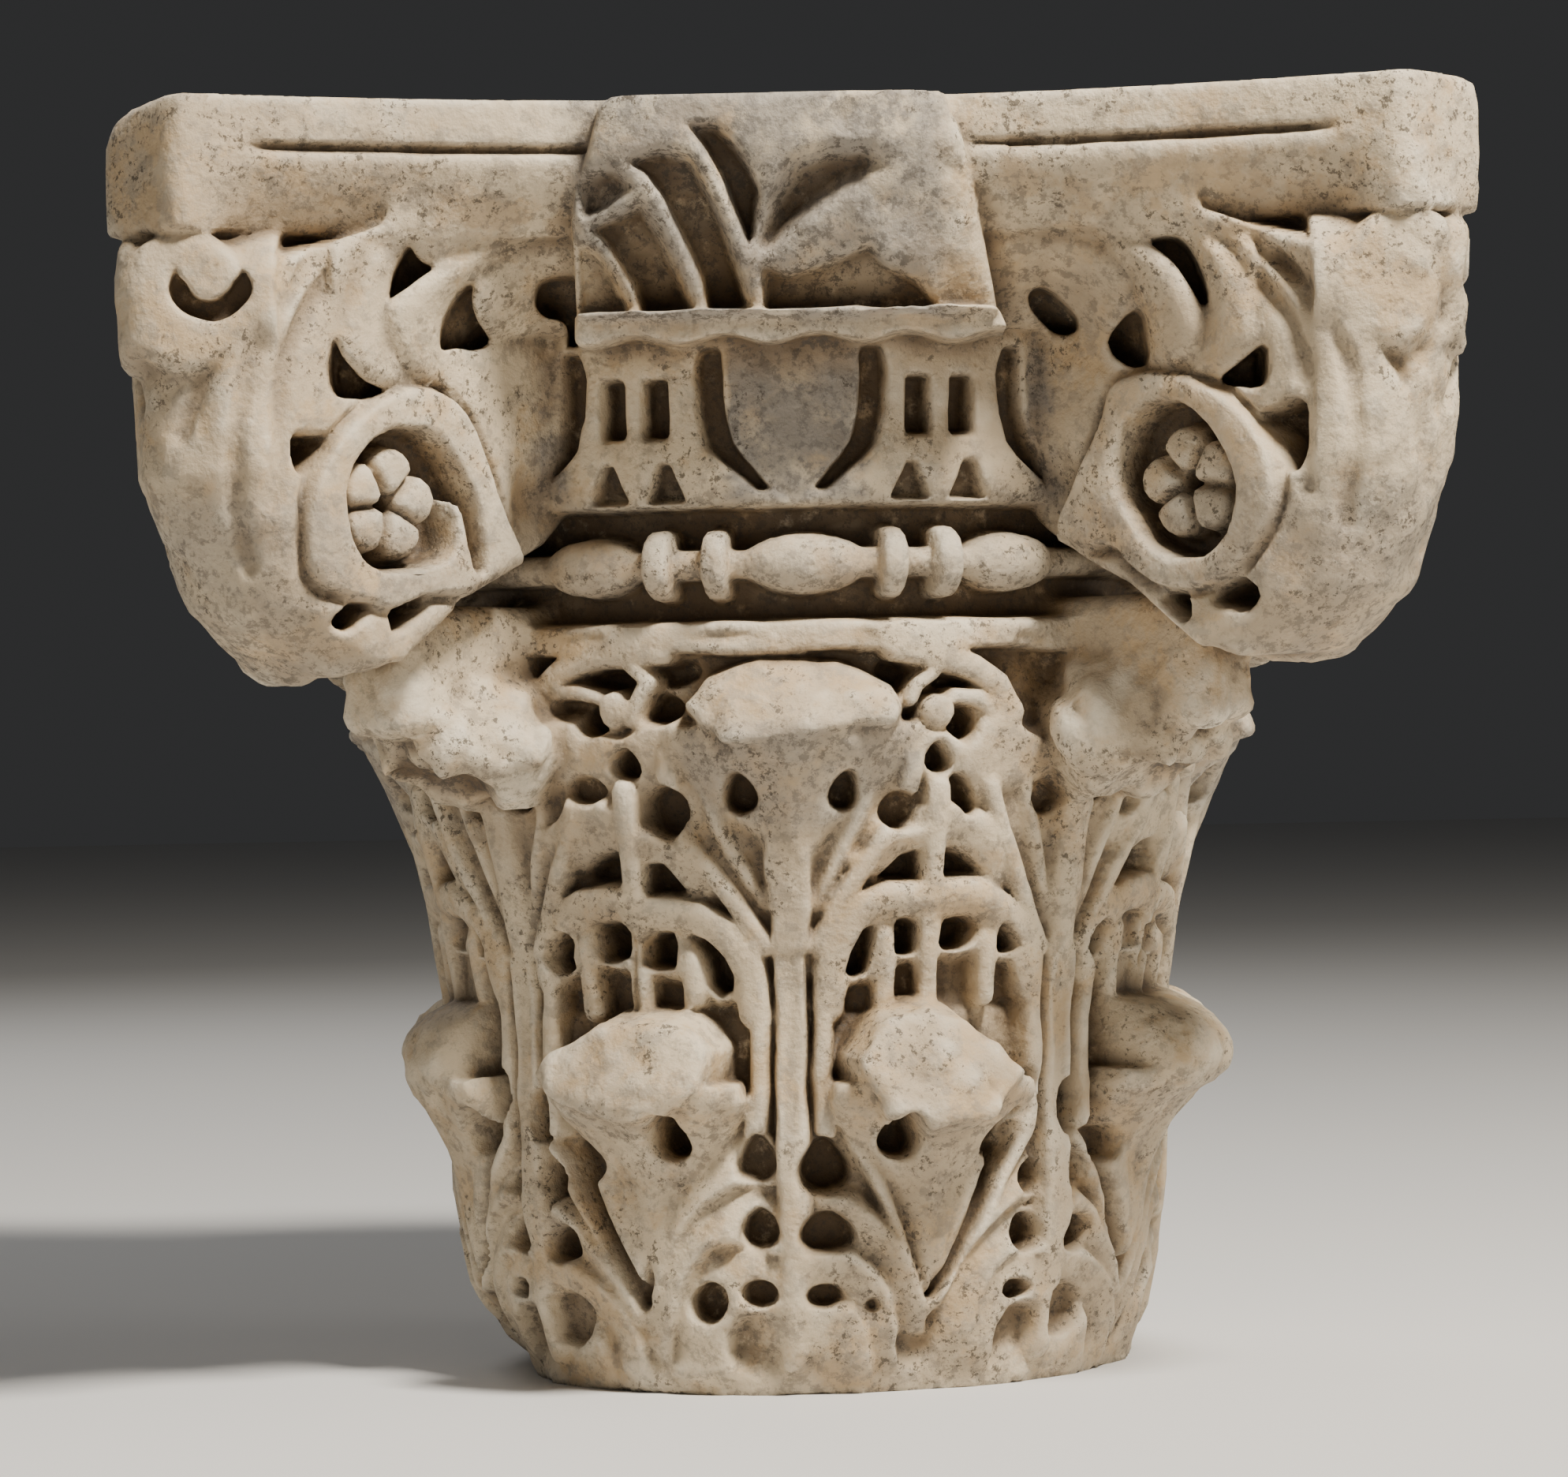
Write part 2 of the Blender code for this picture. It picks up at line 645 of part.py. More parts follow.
def build_volute(carved_sides):
    """One corner; the pockets go only into the faces on the carved sides."""
    rings = []
    for z, inner, middle, half in VOLUTE_ROWS:
        rings.append([(x, y, z) for x, y in volute_section(inner, middle, half)])
    volute = loft("volute", rings)

    # Neck that carries the volute on the curled leaf below it
    neck = loft("neck", [
        [(0.120, -0.015, 0.232), (0.196, -0.015, 0.232), (0.196, 0.015, 0.232), (0.120, 0.015, 0.232)],
        [(0.120, -0.015, 0.272), (0.206, -0.019, 0.262), (0.206, 0.019, 0.262), (0.120, 0.015, 0.272)],
    ])
    cuts = []
    additions = [neck]
    for side in (-1, 1):
        outside = side * (VOLUTE_HALF + OVERLAP)
        recess = turned_oval((VOLUTE_RHO, VOLUTE_Z), RING_INNER + 0.003, RING_INNER + 0.003, 0.0, 16)
        cuts.append(face_prism("recess", recess, side * RECESS_FLOOR, outside))
        outlines = [UNDERCUT]
        if side in carved_sides:
            outlines += [turned_oval((rho, z), a, b, slant, 6) for rho, z, a, b, slant in VOLUTE_POCKETS]
        for outline in outlines:
            cuts.append(face_prism("pocket", outline, side * (VOLUTE_HALF - POCKET_DEPTH), outside))
        additions.append(build_strap(side))
        additions.append(build_ring(side, 18 if side in carved_sides else 12))
        additions.append(build_rosette(side))
    boolean(volute, cuts, "DIFFERENCE")
    boolean(volute, additions, "UNION")
    return volute


# Beads and reels of one side, on the front

def build_beads():
    parts = []
    for spot, span in zip(BEAD_SPOTS, BEAD_SPANS):
        bm = bmesh.new()
        bmesh.ops.create_uvsphere(bm, u_segments=8, v_segments=6, radius=1.0)
        bead = new_object("bead", bm)
        half_length = BEAD_AXIS_RADIUS * math.radians(span)
        place(bead, lambda x, y, z: (z * half_length, x * BEAD_HALF, y * BEAD_HALF))
        parts.append((bead, spot))
    for spot in REEL_SPOTS:
        reel = cylinder("reel", REEL_HALF, REEL_WIDTH, 10)
        place(reel, lambda x, y, z: (z, x, y))
        parts.append((reel, spot))
    for item, spot in parts:
        angle = math.radians(spot)
        place(item, lambda x, y, z: (
            x * math.cos(angle) - (y - BEAD_AXIS_RADIUS) * math.sin(-angle),
            x * math.sin(angle) + (y - BEAD_AXIS_RADIUS) * math.cos(angle),
            z + BEAD_CENTRE,
        ))
    return [item for item, spot in parts]


# Fleurons

FLEURON_LEFT = (
    (FLEURON_BOTTOM, 0.380, ABACUS_TOP - 0.027, ABACUS_TOP - 0.015, ABACUS_TOP),
    (-0.0715, -0.0715, -0.0700, -0.0650, -0.0570),
)
FLEURON_RIGHT = (
    (FLEURON_BOTTOM, 0.362, 0.380, ABACUS_TOP - 0.018, ABACUS_TOP),
    (0.0700, 0.0660, 0.0630, 0.0560, 0.0490),
)
# Ribs of the broken flower, from top to foot
RIBS = (
    ((-0.071, 0.390), (-0.056, 0.380), (-0.048, 0.358)),
    ((-0.053, 0.410), (-0.038, 0.390), (-0.028, 0.358)),
    ((-0.042, 0.417), (-0.020, 0.395), (-0.008, 0.358)),
)


def fleuron_front(x, z, carved):
    """Distance of the front face from the axis."""
    out = FLEURON_FRONT - 0.006 * smooth(np.abs(x), 0.045, 0.075) - 0.004 * (1.0 - smooth(z, 0.355, 0.385))
    if not carved:
        return out - 0.006 * oval(x, z - 0.395, 0.035, 0.030)
    hollow = oval(x + 0.035, z - 0.390, 0.040, 0.034)
    out -= 0.008 * hollow
    for rib in RIBS:
        xs = [point[0] for point in rib]
        zs = [point[1] for point in rib]
        centre = np.interp(z, zs[::-1], xs[::-1])
        mask = (1.0 - smooth(abs(x - centre), 0.0015, 0.0055)) * (z < zs[0] + 0.004)
        out += 0.008 * hollow * mask
    out -= 0.008 * oval(x - 0.012, z - 0.402, 0.020, 0.016)
    out -= 0.004 * oval(x - 0.018, z - 0.371, 0.030, 0.009)
    return out


def build_fleuron(carved):
    """Built on the front side."""
    columns = 18 if carved else 7
    rows = 8 if carved else 4
    rings = []
    for column in range(columns + 1):
        share = column / columns
        ring = []
        for row in range(rows + 1):
            z = FLEURON_BOTTOM + (ABACUS_TOP - FLEURON_BOTTOM) * row / rows
            x = table(FLEURON_LEFT, z) * (1 - share) + table(FLEURON_RIGHT, z) * share
            ring.append((x, -fleuron_front(x, z, carved), z))
        ring.append((ring[-1][0], -FLEURON_BACK, ABACUS_TOP))
        ring.append((ring[0][0], -FLEURON_BACK, FLEURON_BOTTOM))
        rings.append(ring)
    return loft("fleuron", rings)


# Small curls under the ends of the abacus; the front right one is broken off

CURL_RADIUS = 0.0175
CURL_CENTRE = (-0.190, ABACUS_BOTTOM - 0.0125)
CURL_FRONT = 0.213
CURL_LENGTH = 0.030


def build_curl(mirror):
    curl = cylinder("curl", CURL_RADIUS, CURL_LENGTH, 12)
    middle = CURL_FRONT - CURL_LENGTH / 2
    place(curl, lambda x, y, z: (mirror * (CURL_CENTRE[0] + x), -(middle + z), CURL_CENTRE[1] + y))
    return curl


# Whole capital

CHIP_SIZE = 0.080
CHIP_POINT = (0.0095 - ABACUS_HALF, 0.0165 - ABACUS_HALF, ABACUS_TOP - 0.0085)
CHIP_FACING = (-1.0, -0.5, 1.1)


def build_corner_chip():
    """Block that takes the chipped top off the left front corner of the abacus."""
    bm = bmesh.new()
    bmesh.ops.create_cube(bm, size=CHIP_SIZE)
    chip = new_object("chip", bm)
    facing = Vector(CHIP_FACING).normalized()
    turn = facing.to_track_quat("Z", "Y").to_matrix()
    centre = Vector(CHIP_POINT) + facing * CHIP_SIZE / 2
    place(chip, lambda x, y, z: turn @ Vector((x, y, z)) + centre)
    return chip


def drop_folds(bm):
    """Take away pairs of triangles that lie back to back on the same three points."""
    seen = {}
    folds = []
    for face in bm.faces:
        corners = frozenset(face.verts)
        if corners in seen:
            folds += [face, seen[corners]]
        seen[corners] = face
    bmesh.ops.delete(bm, geom=list(set(folds)), context="FACES")


def untangle(bm):
    """Where two flat triangles were cut along one shared line, turn the thinner one's diagonal."""
    for edge in [edge for edge in bm.edges if len(edge.link_faces) == 4]:
        start, end = edge.verts
        faces = sorted(edge.link_faces, key=lambda face: face.calc_area())
        thin = faces[0]
        if thin.calc_area() > SLIVER * edge.calc_length():
            continue
        if [loop.vert for loop in thin.loops if loop.edge == edge][0] != start:
            start, end = end, start
        tip = [vertex for vertex in thin.verts if vertex not in (start, end)][0]
        for other in faces[1:]:
            first = [loop.vert for loop in other.loops if loop.edge == edge][0]
            far = [vertex for vertex in other.verts if vertex not in (start, end)][0]
            if first == start or bm.edges.get((tip, far)):
                continue
            bmesh.ops.delete(bm, geom=[thin, other], context="FACES_ONLY")
            bm.faces.new((start, far, tip))
            bm.faces.new((far, end, tip))
            break


def tidy(item):
    bm = bmesh.new()
    bm.from_mesh(item.data)
    bmesh.ops.triangulate(bm, faces=bm.faces)
    bmesh.ops.recalc_face_normals(bm, faces=bm.faces)
    drop_folds(bm)
    untangle(bm)
    open_edges = sum(1 for edge in bm.edges if len(edge.link_faces) != 2)
    count = len(bm.faces)
    bm.to_mesh(item.data)
    bm.free()
    return count, open_edges


def marble():
    material = bpy.data.materials.new("marble")
    material.use_nodes = True
    shader = material.node_tree.nodes["Principled BSDF"]
    shader.inputs["Base Color"].default_value = (0.66, 0.61, 0.52, 1.0)
    shader.inputs["Roughness"].default_value = 0.72
    return material


def build_capital(nudge):
    """Join everything with the added bodies moved by a hair, so that no two edges coincide badly."""
    capital = build_core()
    capital.name = NODE_NAME
    abacus = build_abacus()
    boolean(abacus, [build_corner_chip()], "DIFFERENCE")
    additions = [abacus, build_fleuron(True)] + build_beads()
    plain = build_fleuron(False)
    for quarter in (1, 2, 3):
        additions.append(copy_turned(plain, "fleuron", 90.0 * quarter))
    bpy.data.objects.remove(plain, do_unlink=True)

    # The faces of the two front volutes that look forward carry all their pockets
    for quarter, carved_sides in ((0, (-1,)), (1, ()), (2, ()), (3, (1,))):
        volute = build_volute(carved_sides)
        additions.append(copy_turned(volute, "volute", -45.0 + 90.0 * quarter))
        bpy.data.objects.remove(volute, do_unlink=True)

    for mirror, quarters in ((1, (0, 1, 2, 3)), (-1, (1, 2, 3))):
        curl = build_curl(mirror)
        for quarter in quarters:
            additions.append(copy_turned(curl, "curl", 90.0 * quarter))
        bpy.data.objects.remove(curl, do_unlink=True)

    for item in additions:
        place(item, lambda x, y, z: (x + nudge, y + nudge, z))
    boolean(capital, additions, "UNION")
    place(capital, lambda x, y, z: (x, y, z * HEIGHT / ABACUS_TOP))
    return capital


def main():
    clear_scene()
    for nudge in NUDGES:
        capital = build_capital(nudge)
        count, open_edges = tidy(capital)
        if open_edges == 0:
            break
        bpy.data.objects.remove(capital, do_unlink=True)
    assert open_edges == 0, open_edges
    assert count < TRIANGLE_LIMIT, count

    collection = bpy.data.collections.new(OBJECT_NAME)
    bpy.context.scene.collection.children.link(collection)
    bpy.context.scene.collection.objects.unlink(capital)
    collection.objects.link(capital)
    capital.data.name = NODE_NAME
    capital.data.materials.clear()
    capital.data.materials.append(marble())
    for face in capital.data.polygons:
        face.use_smooth = True
    capital.data.set_sharp_from_angle(angle=math.radians(32.0))


main()
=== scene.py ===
import math

import bpy
import numpy as np
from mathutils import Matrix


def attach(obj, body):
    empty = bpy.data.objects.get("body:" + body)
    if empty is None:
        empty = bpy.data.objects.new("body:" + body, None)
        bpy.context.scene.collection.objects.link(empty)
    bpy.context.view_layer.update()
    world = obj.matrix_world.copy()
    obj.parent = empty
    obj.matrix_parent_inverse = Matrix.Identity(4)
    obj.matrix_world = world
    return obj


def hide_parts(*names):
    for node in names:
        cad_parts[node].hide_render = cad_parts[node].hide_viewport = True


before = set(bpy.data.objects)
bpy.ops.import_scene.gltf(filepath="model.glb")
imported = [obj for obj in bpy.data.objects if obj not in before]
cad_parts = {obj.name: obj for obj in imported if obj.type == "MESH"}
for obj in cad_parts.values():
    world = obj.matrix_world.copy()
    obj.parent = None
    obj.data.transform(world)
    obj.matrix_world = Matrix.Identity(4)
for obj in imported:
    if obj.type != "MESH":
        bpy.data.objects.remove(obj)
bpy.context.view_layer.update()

import openvdb as vdb
from mathutils import Vector

# Sizes shared with the solid, metres
HEIGHT = 0.430
ABACUS_BOTTOM = 0.387
GROOVE_BOTTOM = 0.4115
GROOVE_TOP = 0.4160
ECHINUS_BOTTOM = 0.299
ECHINUS_TOP = 0.357
BEAD_CENTRE = 0.280
RIM_RADIUS = 0.148
NECK_RADIUS = 0.134
BEAD_AXIS_RADIUS = 0.144
ECHINUS_RADIUS = 0.153
DRUM_RADIUS = 0.128
ABACUS_HALF = 0.2225
ABACUS_CUT = 0.0275
ABACUS_SAG = 0.045
VOLUTE_HALF = 0.035
FLEURON_FRONT = 0.194

# Grid
STEP = 0.0013
REACH = 0.234
LOW = -0.008
TALL = 0.440
CLIP = 0.006
TRIANGLES = 192000

# How the photograph was taken: places in millimetres, the picture in pixels
CAMERA_X = -6.0
CAMERA_FAR = 1800.0
CAMERA_Z = 222.0
ROLL = math.radians(1.1)
FOCAL = 6328.0
PICTURE_WIDTH = 1988.0
PICTURE_MIDDLE = (994.0, 936.0)
# Enlarged parts in which outlines were read: left edge, top edge and enlargement
LEFT_PART = (130.0, 240.0, 2.375)
RIGHT_PART = (1270.0, 240.0, 2.376)
# How far out the covering leaf lies where it was read
COVE_OUT = 172.0

# Carved maps: millimetres, and degrees on the bell, where a degree is this wide
DEGREE_WIDTH = 2.35
MAP_THETA = 0.25
MAP_Z = 0.5


def smooth(value, low, high):
    step = np.clip((value - low) / (high - low), 0.0, 1.0)
    return step * step * (3.0 - 2.0 * step)


def window(value, low, high, soft):
    return smooth(value, low - soft, low) * (1.0 - smooth(value, high, high + soft))


def table(pair, value):
    return np.interp(value, pair[0], pair[1])


def meet(a, b, soft):
    """Union of two fields with a small fillet."""
    share = np.clip(0.5 + 0.5 * (b - a) / soft, 0.0, 1.0)
    return b + (a - b) * share - soft * share * (1.0 - share)


def cut(a, b, soft):
    """What is inside both fields, with a rounded edge."""
    return -meet(-a, -b, soft)


class Relief:
    """A height map in millimetres over a flat or unrolled surface."""

    def __init__(self, across, up, scale, ground):
        self.x = across * scale
        self.z = up
        self.scale = scale
        self.h = ground

    def away(self, points):
        """Distance to a line through the points."""
        best = np.full(self.h.shape, 1e9)
        for (x0, z0), (x1, z1) in zip(points[:-1], points[1:]):
            x0 = x0 * self.scale
            x1 = x1 * self.scale
            dx = x1 - x0
            dz = z1 - z0
            share = ((self.x - x0) * dx + (self.z - z0) * dz) / max(dx * dx + dz * dz, 1e-9)
            share = np.clip(share, 0.0, 1.0)
            best = np.minimum(best, np.hypot(self.x - x0 - share * dx, self.z - z0 - share * dz))
        return best

    def ridge(self, points, half, top, soft=1.2, round_off=1.0):
        gap = self.away(points)
        shape = top - round_off * np.clip(gap / half, 0.0, 1.6) ** 2
        mask = 1.0 - smooth(gap, half - soft * 0.5, half + soft)
        self.h = np.where(shape > self.h, self.h + (shape - self.h) * mask, self.h)

    def shelf(self, points, top, fall, width, lip=0.5):
        """A sharp edge: it drops at once on the left of the line and falls off slowly on the right."""
        best = np.full(self.h.shape, 1e9)
        side = np.zeros(self.h.shape)
        for (x0, z0), (x1, z1) in zip(points[:-1], points[1:]):
            x0 = x0 * self.scale
            x1 = x1 * self.scale
            dx = x1 - x0
            dz = z1 - z0
            share = np.clip(((self.x - x0) * dx + (self.z - z0) * dz) / (dx * dx + dz * dz), 0.0, 1.0)
            gap = np.hypot(self.x - x0 - share * dx, self.z - z0 - share * dz)
            turn = np.sign((self.x - x0) * dz - (self.z - z0) * dx)
            side = np.where(gap < best, turn, side)
            best = np.minimum(best, gap)
        gentle = top - fall * (best / width) ** 1.2 - 8.0 * np.clip(best / width - 1.0, 0.0, None)
        steep = top - best / lip
        self.h = np.maximum(self.h, np.where(side > 0, gentle, steep))

    def pillow(self, points, top, drop, width):
        """Raise an area to a softly rounded surface with a sharp edge."""
        gap = -self.inside(points)
        shape = top - drop * (1.0 - np.clip(gap / width, 0.0, 1.0)) ** 2
        self.h = np.where(gap > 0.0, np.maximum(self.h, shape), self.h)

    def line(self, points, half, depth):
        """A thin cut below what is there."""
        mask = 1.0 - smooth(self.away(points), 0.3 * half, half)
        self.h = self.h - depth * mask

    def oval(self, x, z, half_x, half_z, lean=0.0, point=0.0):
        turn = math.radians(lean)
        dx = self.x - x * self.scale
        dz = self.z - z
        u = dx * math.cos(turn) + dz * math.sin(turn)
        v = -dx * math.sin(turn) + dz * math.cos(turn)
        width = half_x * self.scale * (1.0 - point * np.clip(v / half_z, -1.0, 1.0) * 0.75)
        return np.hypot(u / width, v / half_z)

    def hole(self, x, z, half_x, half_z, depth, lean=0.0, point=0.0):
        out = self.oval(x, z, half_x, half_z, lean, point)
        mask = 1.0 - smooth(out, 0.80, 1.12)
        floor = -depth * (1.0 - 0.15 * np.clip(out, 0.0, 1.0) ** 2)
        self.h = np.minimum(self.h, self.h + (floor - self.h) * mask)

    def boss(self, x, z, half_x, half_z, top, lean=0.0, round_off=1.6):
        out = self.oval(x, z, half_x, half_z, lean)
        shape = top - round_off * np.clip(out, 0.0, 1.4) ** 2
        mask = 1.0 - smooth(out, 0.85, 1.15)
        self.h = np.where(shape > self.h, self.h + (shape - self.h) * mask, self.h)

    def inside(self, points):
        """Signed distance to a closed outline, negative inside."""
        gap = self.away(list(points) + [points[0]])
        odd = np.zeros(self.h.shape, dtype=bool)
        for (x0, z0), (x1, z1) in zip(points, tuple(points[1:]) + tuple(points[:1])):
            x0 = x0 * self.scale
            x1 = x1 * self.scale
            if z0 == z1:
                continue
            crosses = (self.z > min(z0, z1)) & (self.z <= max(z0, z1))
            meets = x0 + (self.z - z0) * (x1 - x0) / (z1 - z0)
            odd ^= crosses & (self.x < meets)
        return np.where(odd, -gap, gap)

    def pit(self, points, depth, soft=1.3):
        gap = self.inside(points)
        mask = 1.0 - smooth(gap, -soft, 0.5 * soft)
        self.h = np.minimum(self.h, self.h + (-depth - self.h) * mask)

    def raise_area(self, points, top, soft=2.0):
        gap = self.inside(points)
        mask = 1.0 - smooth(gap, -soft, soft)
        self.h = self.h + (top - self.h) * mask


def rounded(points, passes=2):
    """The closed outline with its corners cut off again and again."""
    for step in range(passes):
        made = []
        for (x0, z0), (x1, z1) in zip(points, tuple(points[1:]) + (points[0],)):
            made.append((0.78 * x0 + 0.22 * x1, 0.78 * z0 + 0.22 * z1))
            made.append((0.22 * x0 + 0.78 * x1, 0.22 * z0 + 0.78 * z1))
        points = tuple(made)
    return points


# Carving of the bell: one face wide, from corner leaf axis to corner leaf axis

BELL_PROFILE = (
    (0.0, 33.0, 61.6, 132.7, 161.0, 190.0, 210.0, 246.0, 262.0),
    (118.0, 125.0, 128.6, 130.6, 135.0, 142.5, 146.0, 147.5, 147.5),
)
STEM = -2.4
LEFT_STEM = -44.9
RIGHT_STEM = 39.0
LEFT_LINE = -24.0
RIGHT_LINE = 17.5


def ground_carving(relief):
    """Leaf lobes near the foot: each has a sharp upper edge and falls back towards the one below."""
    for points, top, fall, width in (
        # behind the stems, low to high
        (((-44.9, 28), (-40, 29.5), (-37, 26), (-35, 18), (-34.5, 4)), -1.6, 3.0, 16),
        (((-4.8, 28.5), (-8, 30), (-11.5, 28.5), (-13.6, 22), (-14.2, 6)), -0.9, 2.4, 16),
        (((-0.5, 30), (3, 30.8), (6.2, 29), (8.2, 22), (8.8, 6)), -0.9, 2.4, 16),
        (((37.4, 28), (34, 30), (31, 28.5), (29, 22), (28.4, 6)), -0.9, 2.4, 16),
        (((-44.5, 44), (-41, 45.5), (-37.5, 42.5), (-33, 37), (-29.5, 29), (-28, 18)), -0.4, 4.6, 12),
        (
            ((-4.8, 50), (-8, 53), (-11.5, 54.5), (-15, 52.5), (-18, 46), (-20.6, 36), (-22, 24)),
            -0.3, 4.6, 13,
        ),
        (((-0.5, 47), (3, 48.6), (6, 47.5), (9, 42.5), (11.6, 34), (12.6, 22)), -0.3, 4.6, 12),
        (((37.5, 45), (34, 46.6), (31, 45.5), (28, 40), (25.6, 30), (25, 20)), -0.3, 4.6, 12),
        (((-44, 62), (-40.5, 63.5), (-37, 58), (-33.6, 49), (-30, 40), (-27.2, 29)), 0.0, 6.5, 10),
        (((-4.8, 74.5), (-8, 76.5), (-12, 73), (-15.5, 67), (-19, 57), (-22, 45), (-24.6, 31)), 0.2, 6.5, 12),
        (((-0.6, 71), (3, 69.6), (6, 66.6), (9.5, 60), (12.8, 52), (15.3, 43), (17.0, 31)), 0.2, 6.5, 11),
        (((37.4, 66), (33.5, 66.8), (30, 62.5), (26.6, 56), (22.6, 46), (19.2, 31)), 0.2, 6.5, 11),
    ):
        relief.shelf(points, top, fall, width)
    # Narrow ribs that run down from beside the leaf tips
    for points, half, top in (
        (((-14.2, 88), (-16.6, 76), (-19.6, 62), (-22.5, 47), (-24.8, 33)), 2.2, -0.6),
        (((5.8, 90), (9.0, 76), (12.2, 62), (14.6, 49), (16.8, 35)), 2.4, 0.0),
        (((33.4, 88), (30.2, 76), (26.4, 62), (23.2, 50), (19.8, 36)), 2.6, 0.2),
        (((-41.0, 84), (-38.2, 72), (-34.6, 60), (-31.0, 48), (-27.6, 36)), 2.4, -0.4),
    ):
        relief.ridge(points, half, top, round_off=1.2)


def leaf_body(relief):
    """Bodies of the two lower leaves in their V shaped channels."""
    for points in (
        (
            (-35.5, 88), (-32.6, 68), (-29.6, 52), (-26.6, 38),
            (-25.4, 38), (-22.6, 54), (-20.2, 68), (-17.2, 88),
        ),
        ((12.0, 88), (14.2, 68), (16.2, 54), (17.6, 41), (18.6, 40), (21.0, 50), (24.4, 66), (28.2, 88)),
    ):
        relief.pillow(points, 0.2, 2.2, 5.0)
    relief.line(((-37.4, 84), (-35.0, 69), (-31.8, 54), (-28.4, 42), (-26.2, 32)), 4.2, 7.5)
    relief.line(((-15.8, 86), (-18.3, 73), (-21.2, 60), (-23.8, 45), (-25.7, 33)), 2.7, 6.0)
    relief.line(((9.6, 86), (12.2, 72), (14.6, 57), (16.0, 45), (17.8, 34)), 2.9, 8.5)
    relief.line(((29.4, 82), (26.9, 68), (23.8, 54), (21.4, 43), (18.4, 34)), 2.9, 8.5)
    for axis, lean in ((-28.8, 1.6), (-23.2, -1.0), (16.6, 1.2), (22.4, -2.0)):
        relief.line(((axis, 80), (axis + lean, 50)), 1.3, 1.7)
    relief.line(((-26.0, 80), (-25.9, 52)), 3.2, 0.9)
    relief.line(((19.6, 84), (19.0, 56)), 3.6, 1.3)


def stem_carving(relief):
    for axis in (STEM, LEFT_STEM, RIGHT_STEM):
        relief.ridge(((axis - 0.4, 12), (axis - 0.2, 60)), 4.2, -0.3, round_off=1.2)
        relief.ridge(((axis, 55), (axis, 100), (axis, 166)), 5.6, 0.2, round_off=0.6)
        relief.ridge(((axis - 5.6, 90), (axis - 4.6, 104), (axis - 4.3, 128), (axis - 5.4, 150)), 3.4, 0.4)
        relief.ridge(((axis + 4.9, 90), (axis + 4.5, 110), (axis + 4.6, 128), (axis + 5.6, 150)), 3.2, 0.4)
        for side in (-1, 1):
            relief.line(((axis + side * 2.7, 62), (axis + side * 2.5, 160)), 1.3, 4.5)
        relief.line(((axis, 92), (axis, 164)), 3.8, 1.5)


LOWER_HOLES = (
    (-7.8, 81.5, 2.8, 8.4, 15.0, 0, 0.6),
    (2.2, 78.6, 3.7, 10.0, 22.0, 4, 0.6),
    (-7.7, 57.8, 2.8, 7.0, 18.0, 0, 0.4),
    (2.2, 56.0, 4.1, 7.2, 16.0, 0, 0.3),
    (-8.0, 35.2, 2.8, 4.8, 13.0, 0, 0.0),
    (1.8, 34.5, 2.9, 3.9, 13.0, 0, 0.0),
    (-16.0, 32.0, 2.9, 7.4, 17.0, -30, 0.0),
    (9.3, 31.0, 1.1, 2.6, 8.0, 30, 0.0),
    (35.0, 71.0, 2.1, 6.0, 17.0, -22, 0.3),
    (34.2, 52.5, 2.7, 6.8, 18.0, -18, 0.2),
    (32.8, 33.2, 2.6, 3.3, 12.0, 0, 0.0),
    (-40.3, 50.5, 3.4, 5.8, 18.0, 30, 0.0),
    (-41.2, 74.0, 2.4, 7.5, 17.0, 15, 0.4),
    (-41.4, 24.0, 5.0, 9.4, 11.0, 0, 0.0),
    (-14.2, 106.5, 2.8, 6.2, 12.0, -20, 0.0),
    (-14.8, 124.0, 2.8, 8.0, 12.0, 20, -0.3),
    (8.4, 108.0, 1.7, 6.4, 12.0, 28, 0.0),
    (33.2, 101.0, 1.6, 8.0, 12.0, -12, 0.0),
    (-43.0, 95.0, 2.0, 9.0, 16.0, 0, 0.0),
)
RIM_DENTS = (
    (8.2, 254, 1.6, 4.5, 2.0),
    (-9, 256, 5.0, 1.6, 1.2),
    (-28, 257, 3.0, 2.0, 1.6),
    (30, 253, 2.4, 4, 2.0),
)
EYES = (
    (-19.3, 89.6, 2.5, 8.6, 17.0, 0, 0.5),
    (-34.0, 79.0, 2.9, 7.0, 14.0, 8, 0.3),
    (12.3, 89.2, 2.6, 8.4, 17.0, 0, 0.5),
    (27.4, 88.5, 2.1, 9.2, 17.0, -24, 0.3),
    (-8.2, 204.6, 2.2, 7.2, 17.0, 4, 0.5),
    (5.3, 204.2, 1.9, 7.0, 17.0, -8, 0.4),
)


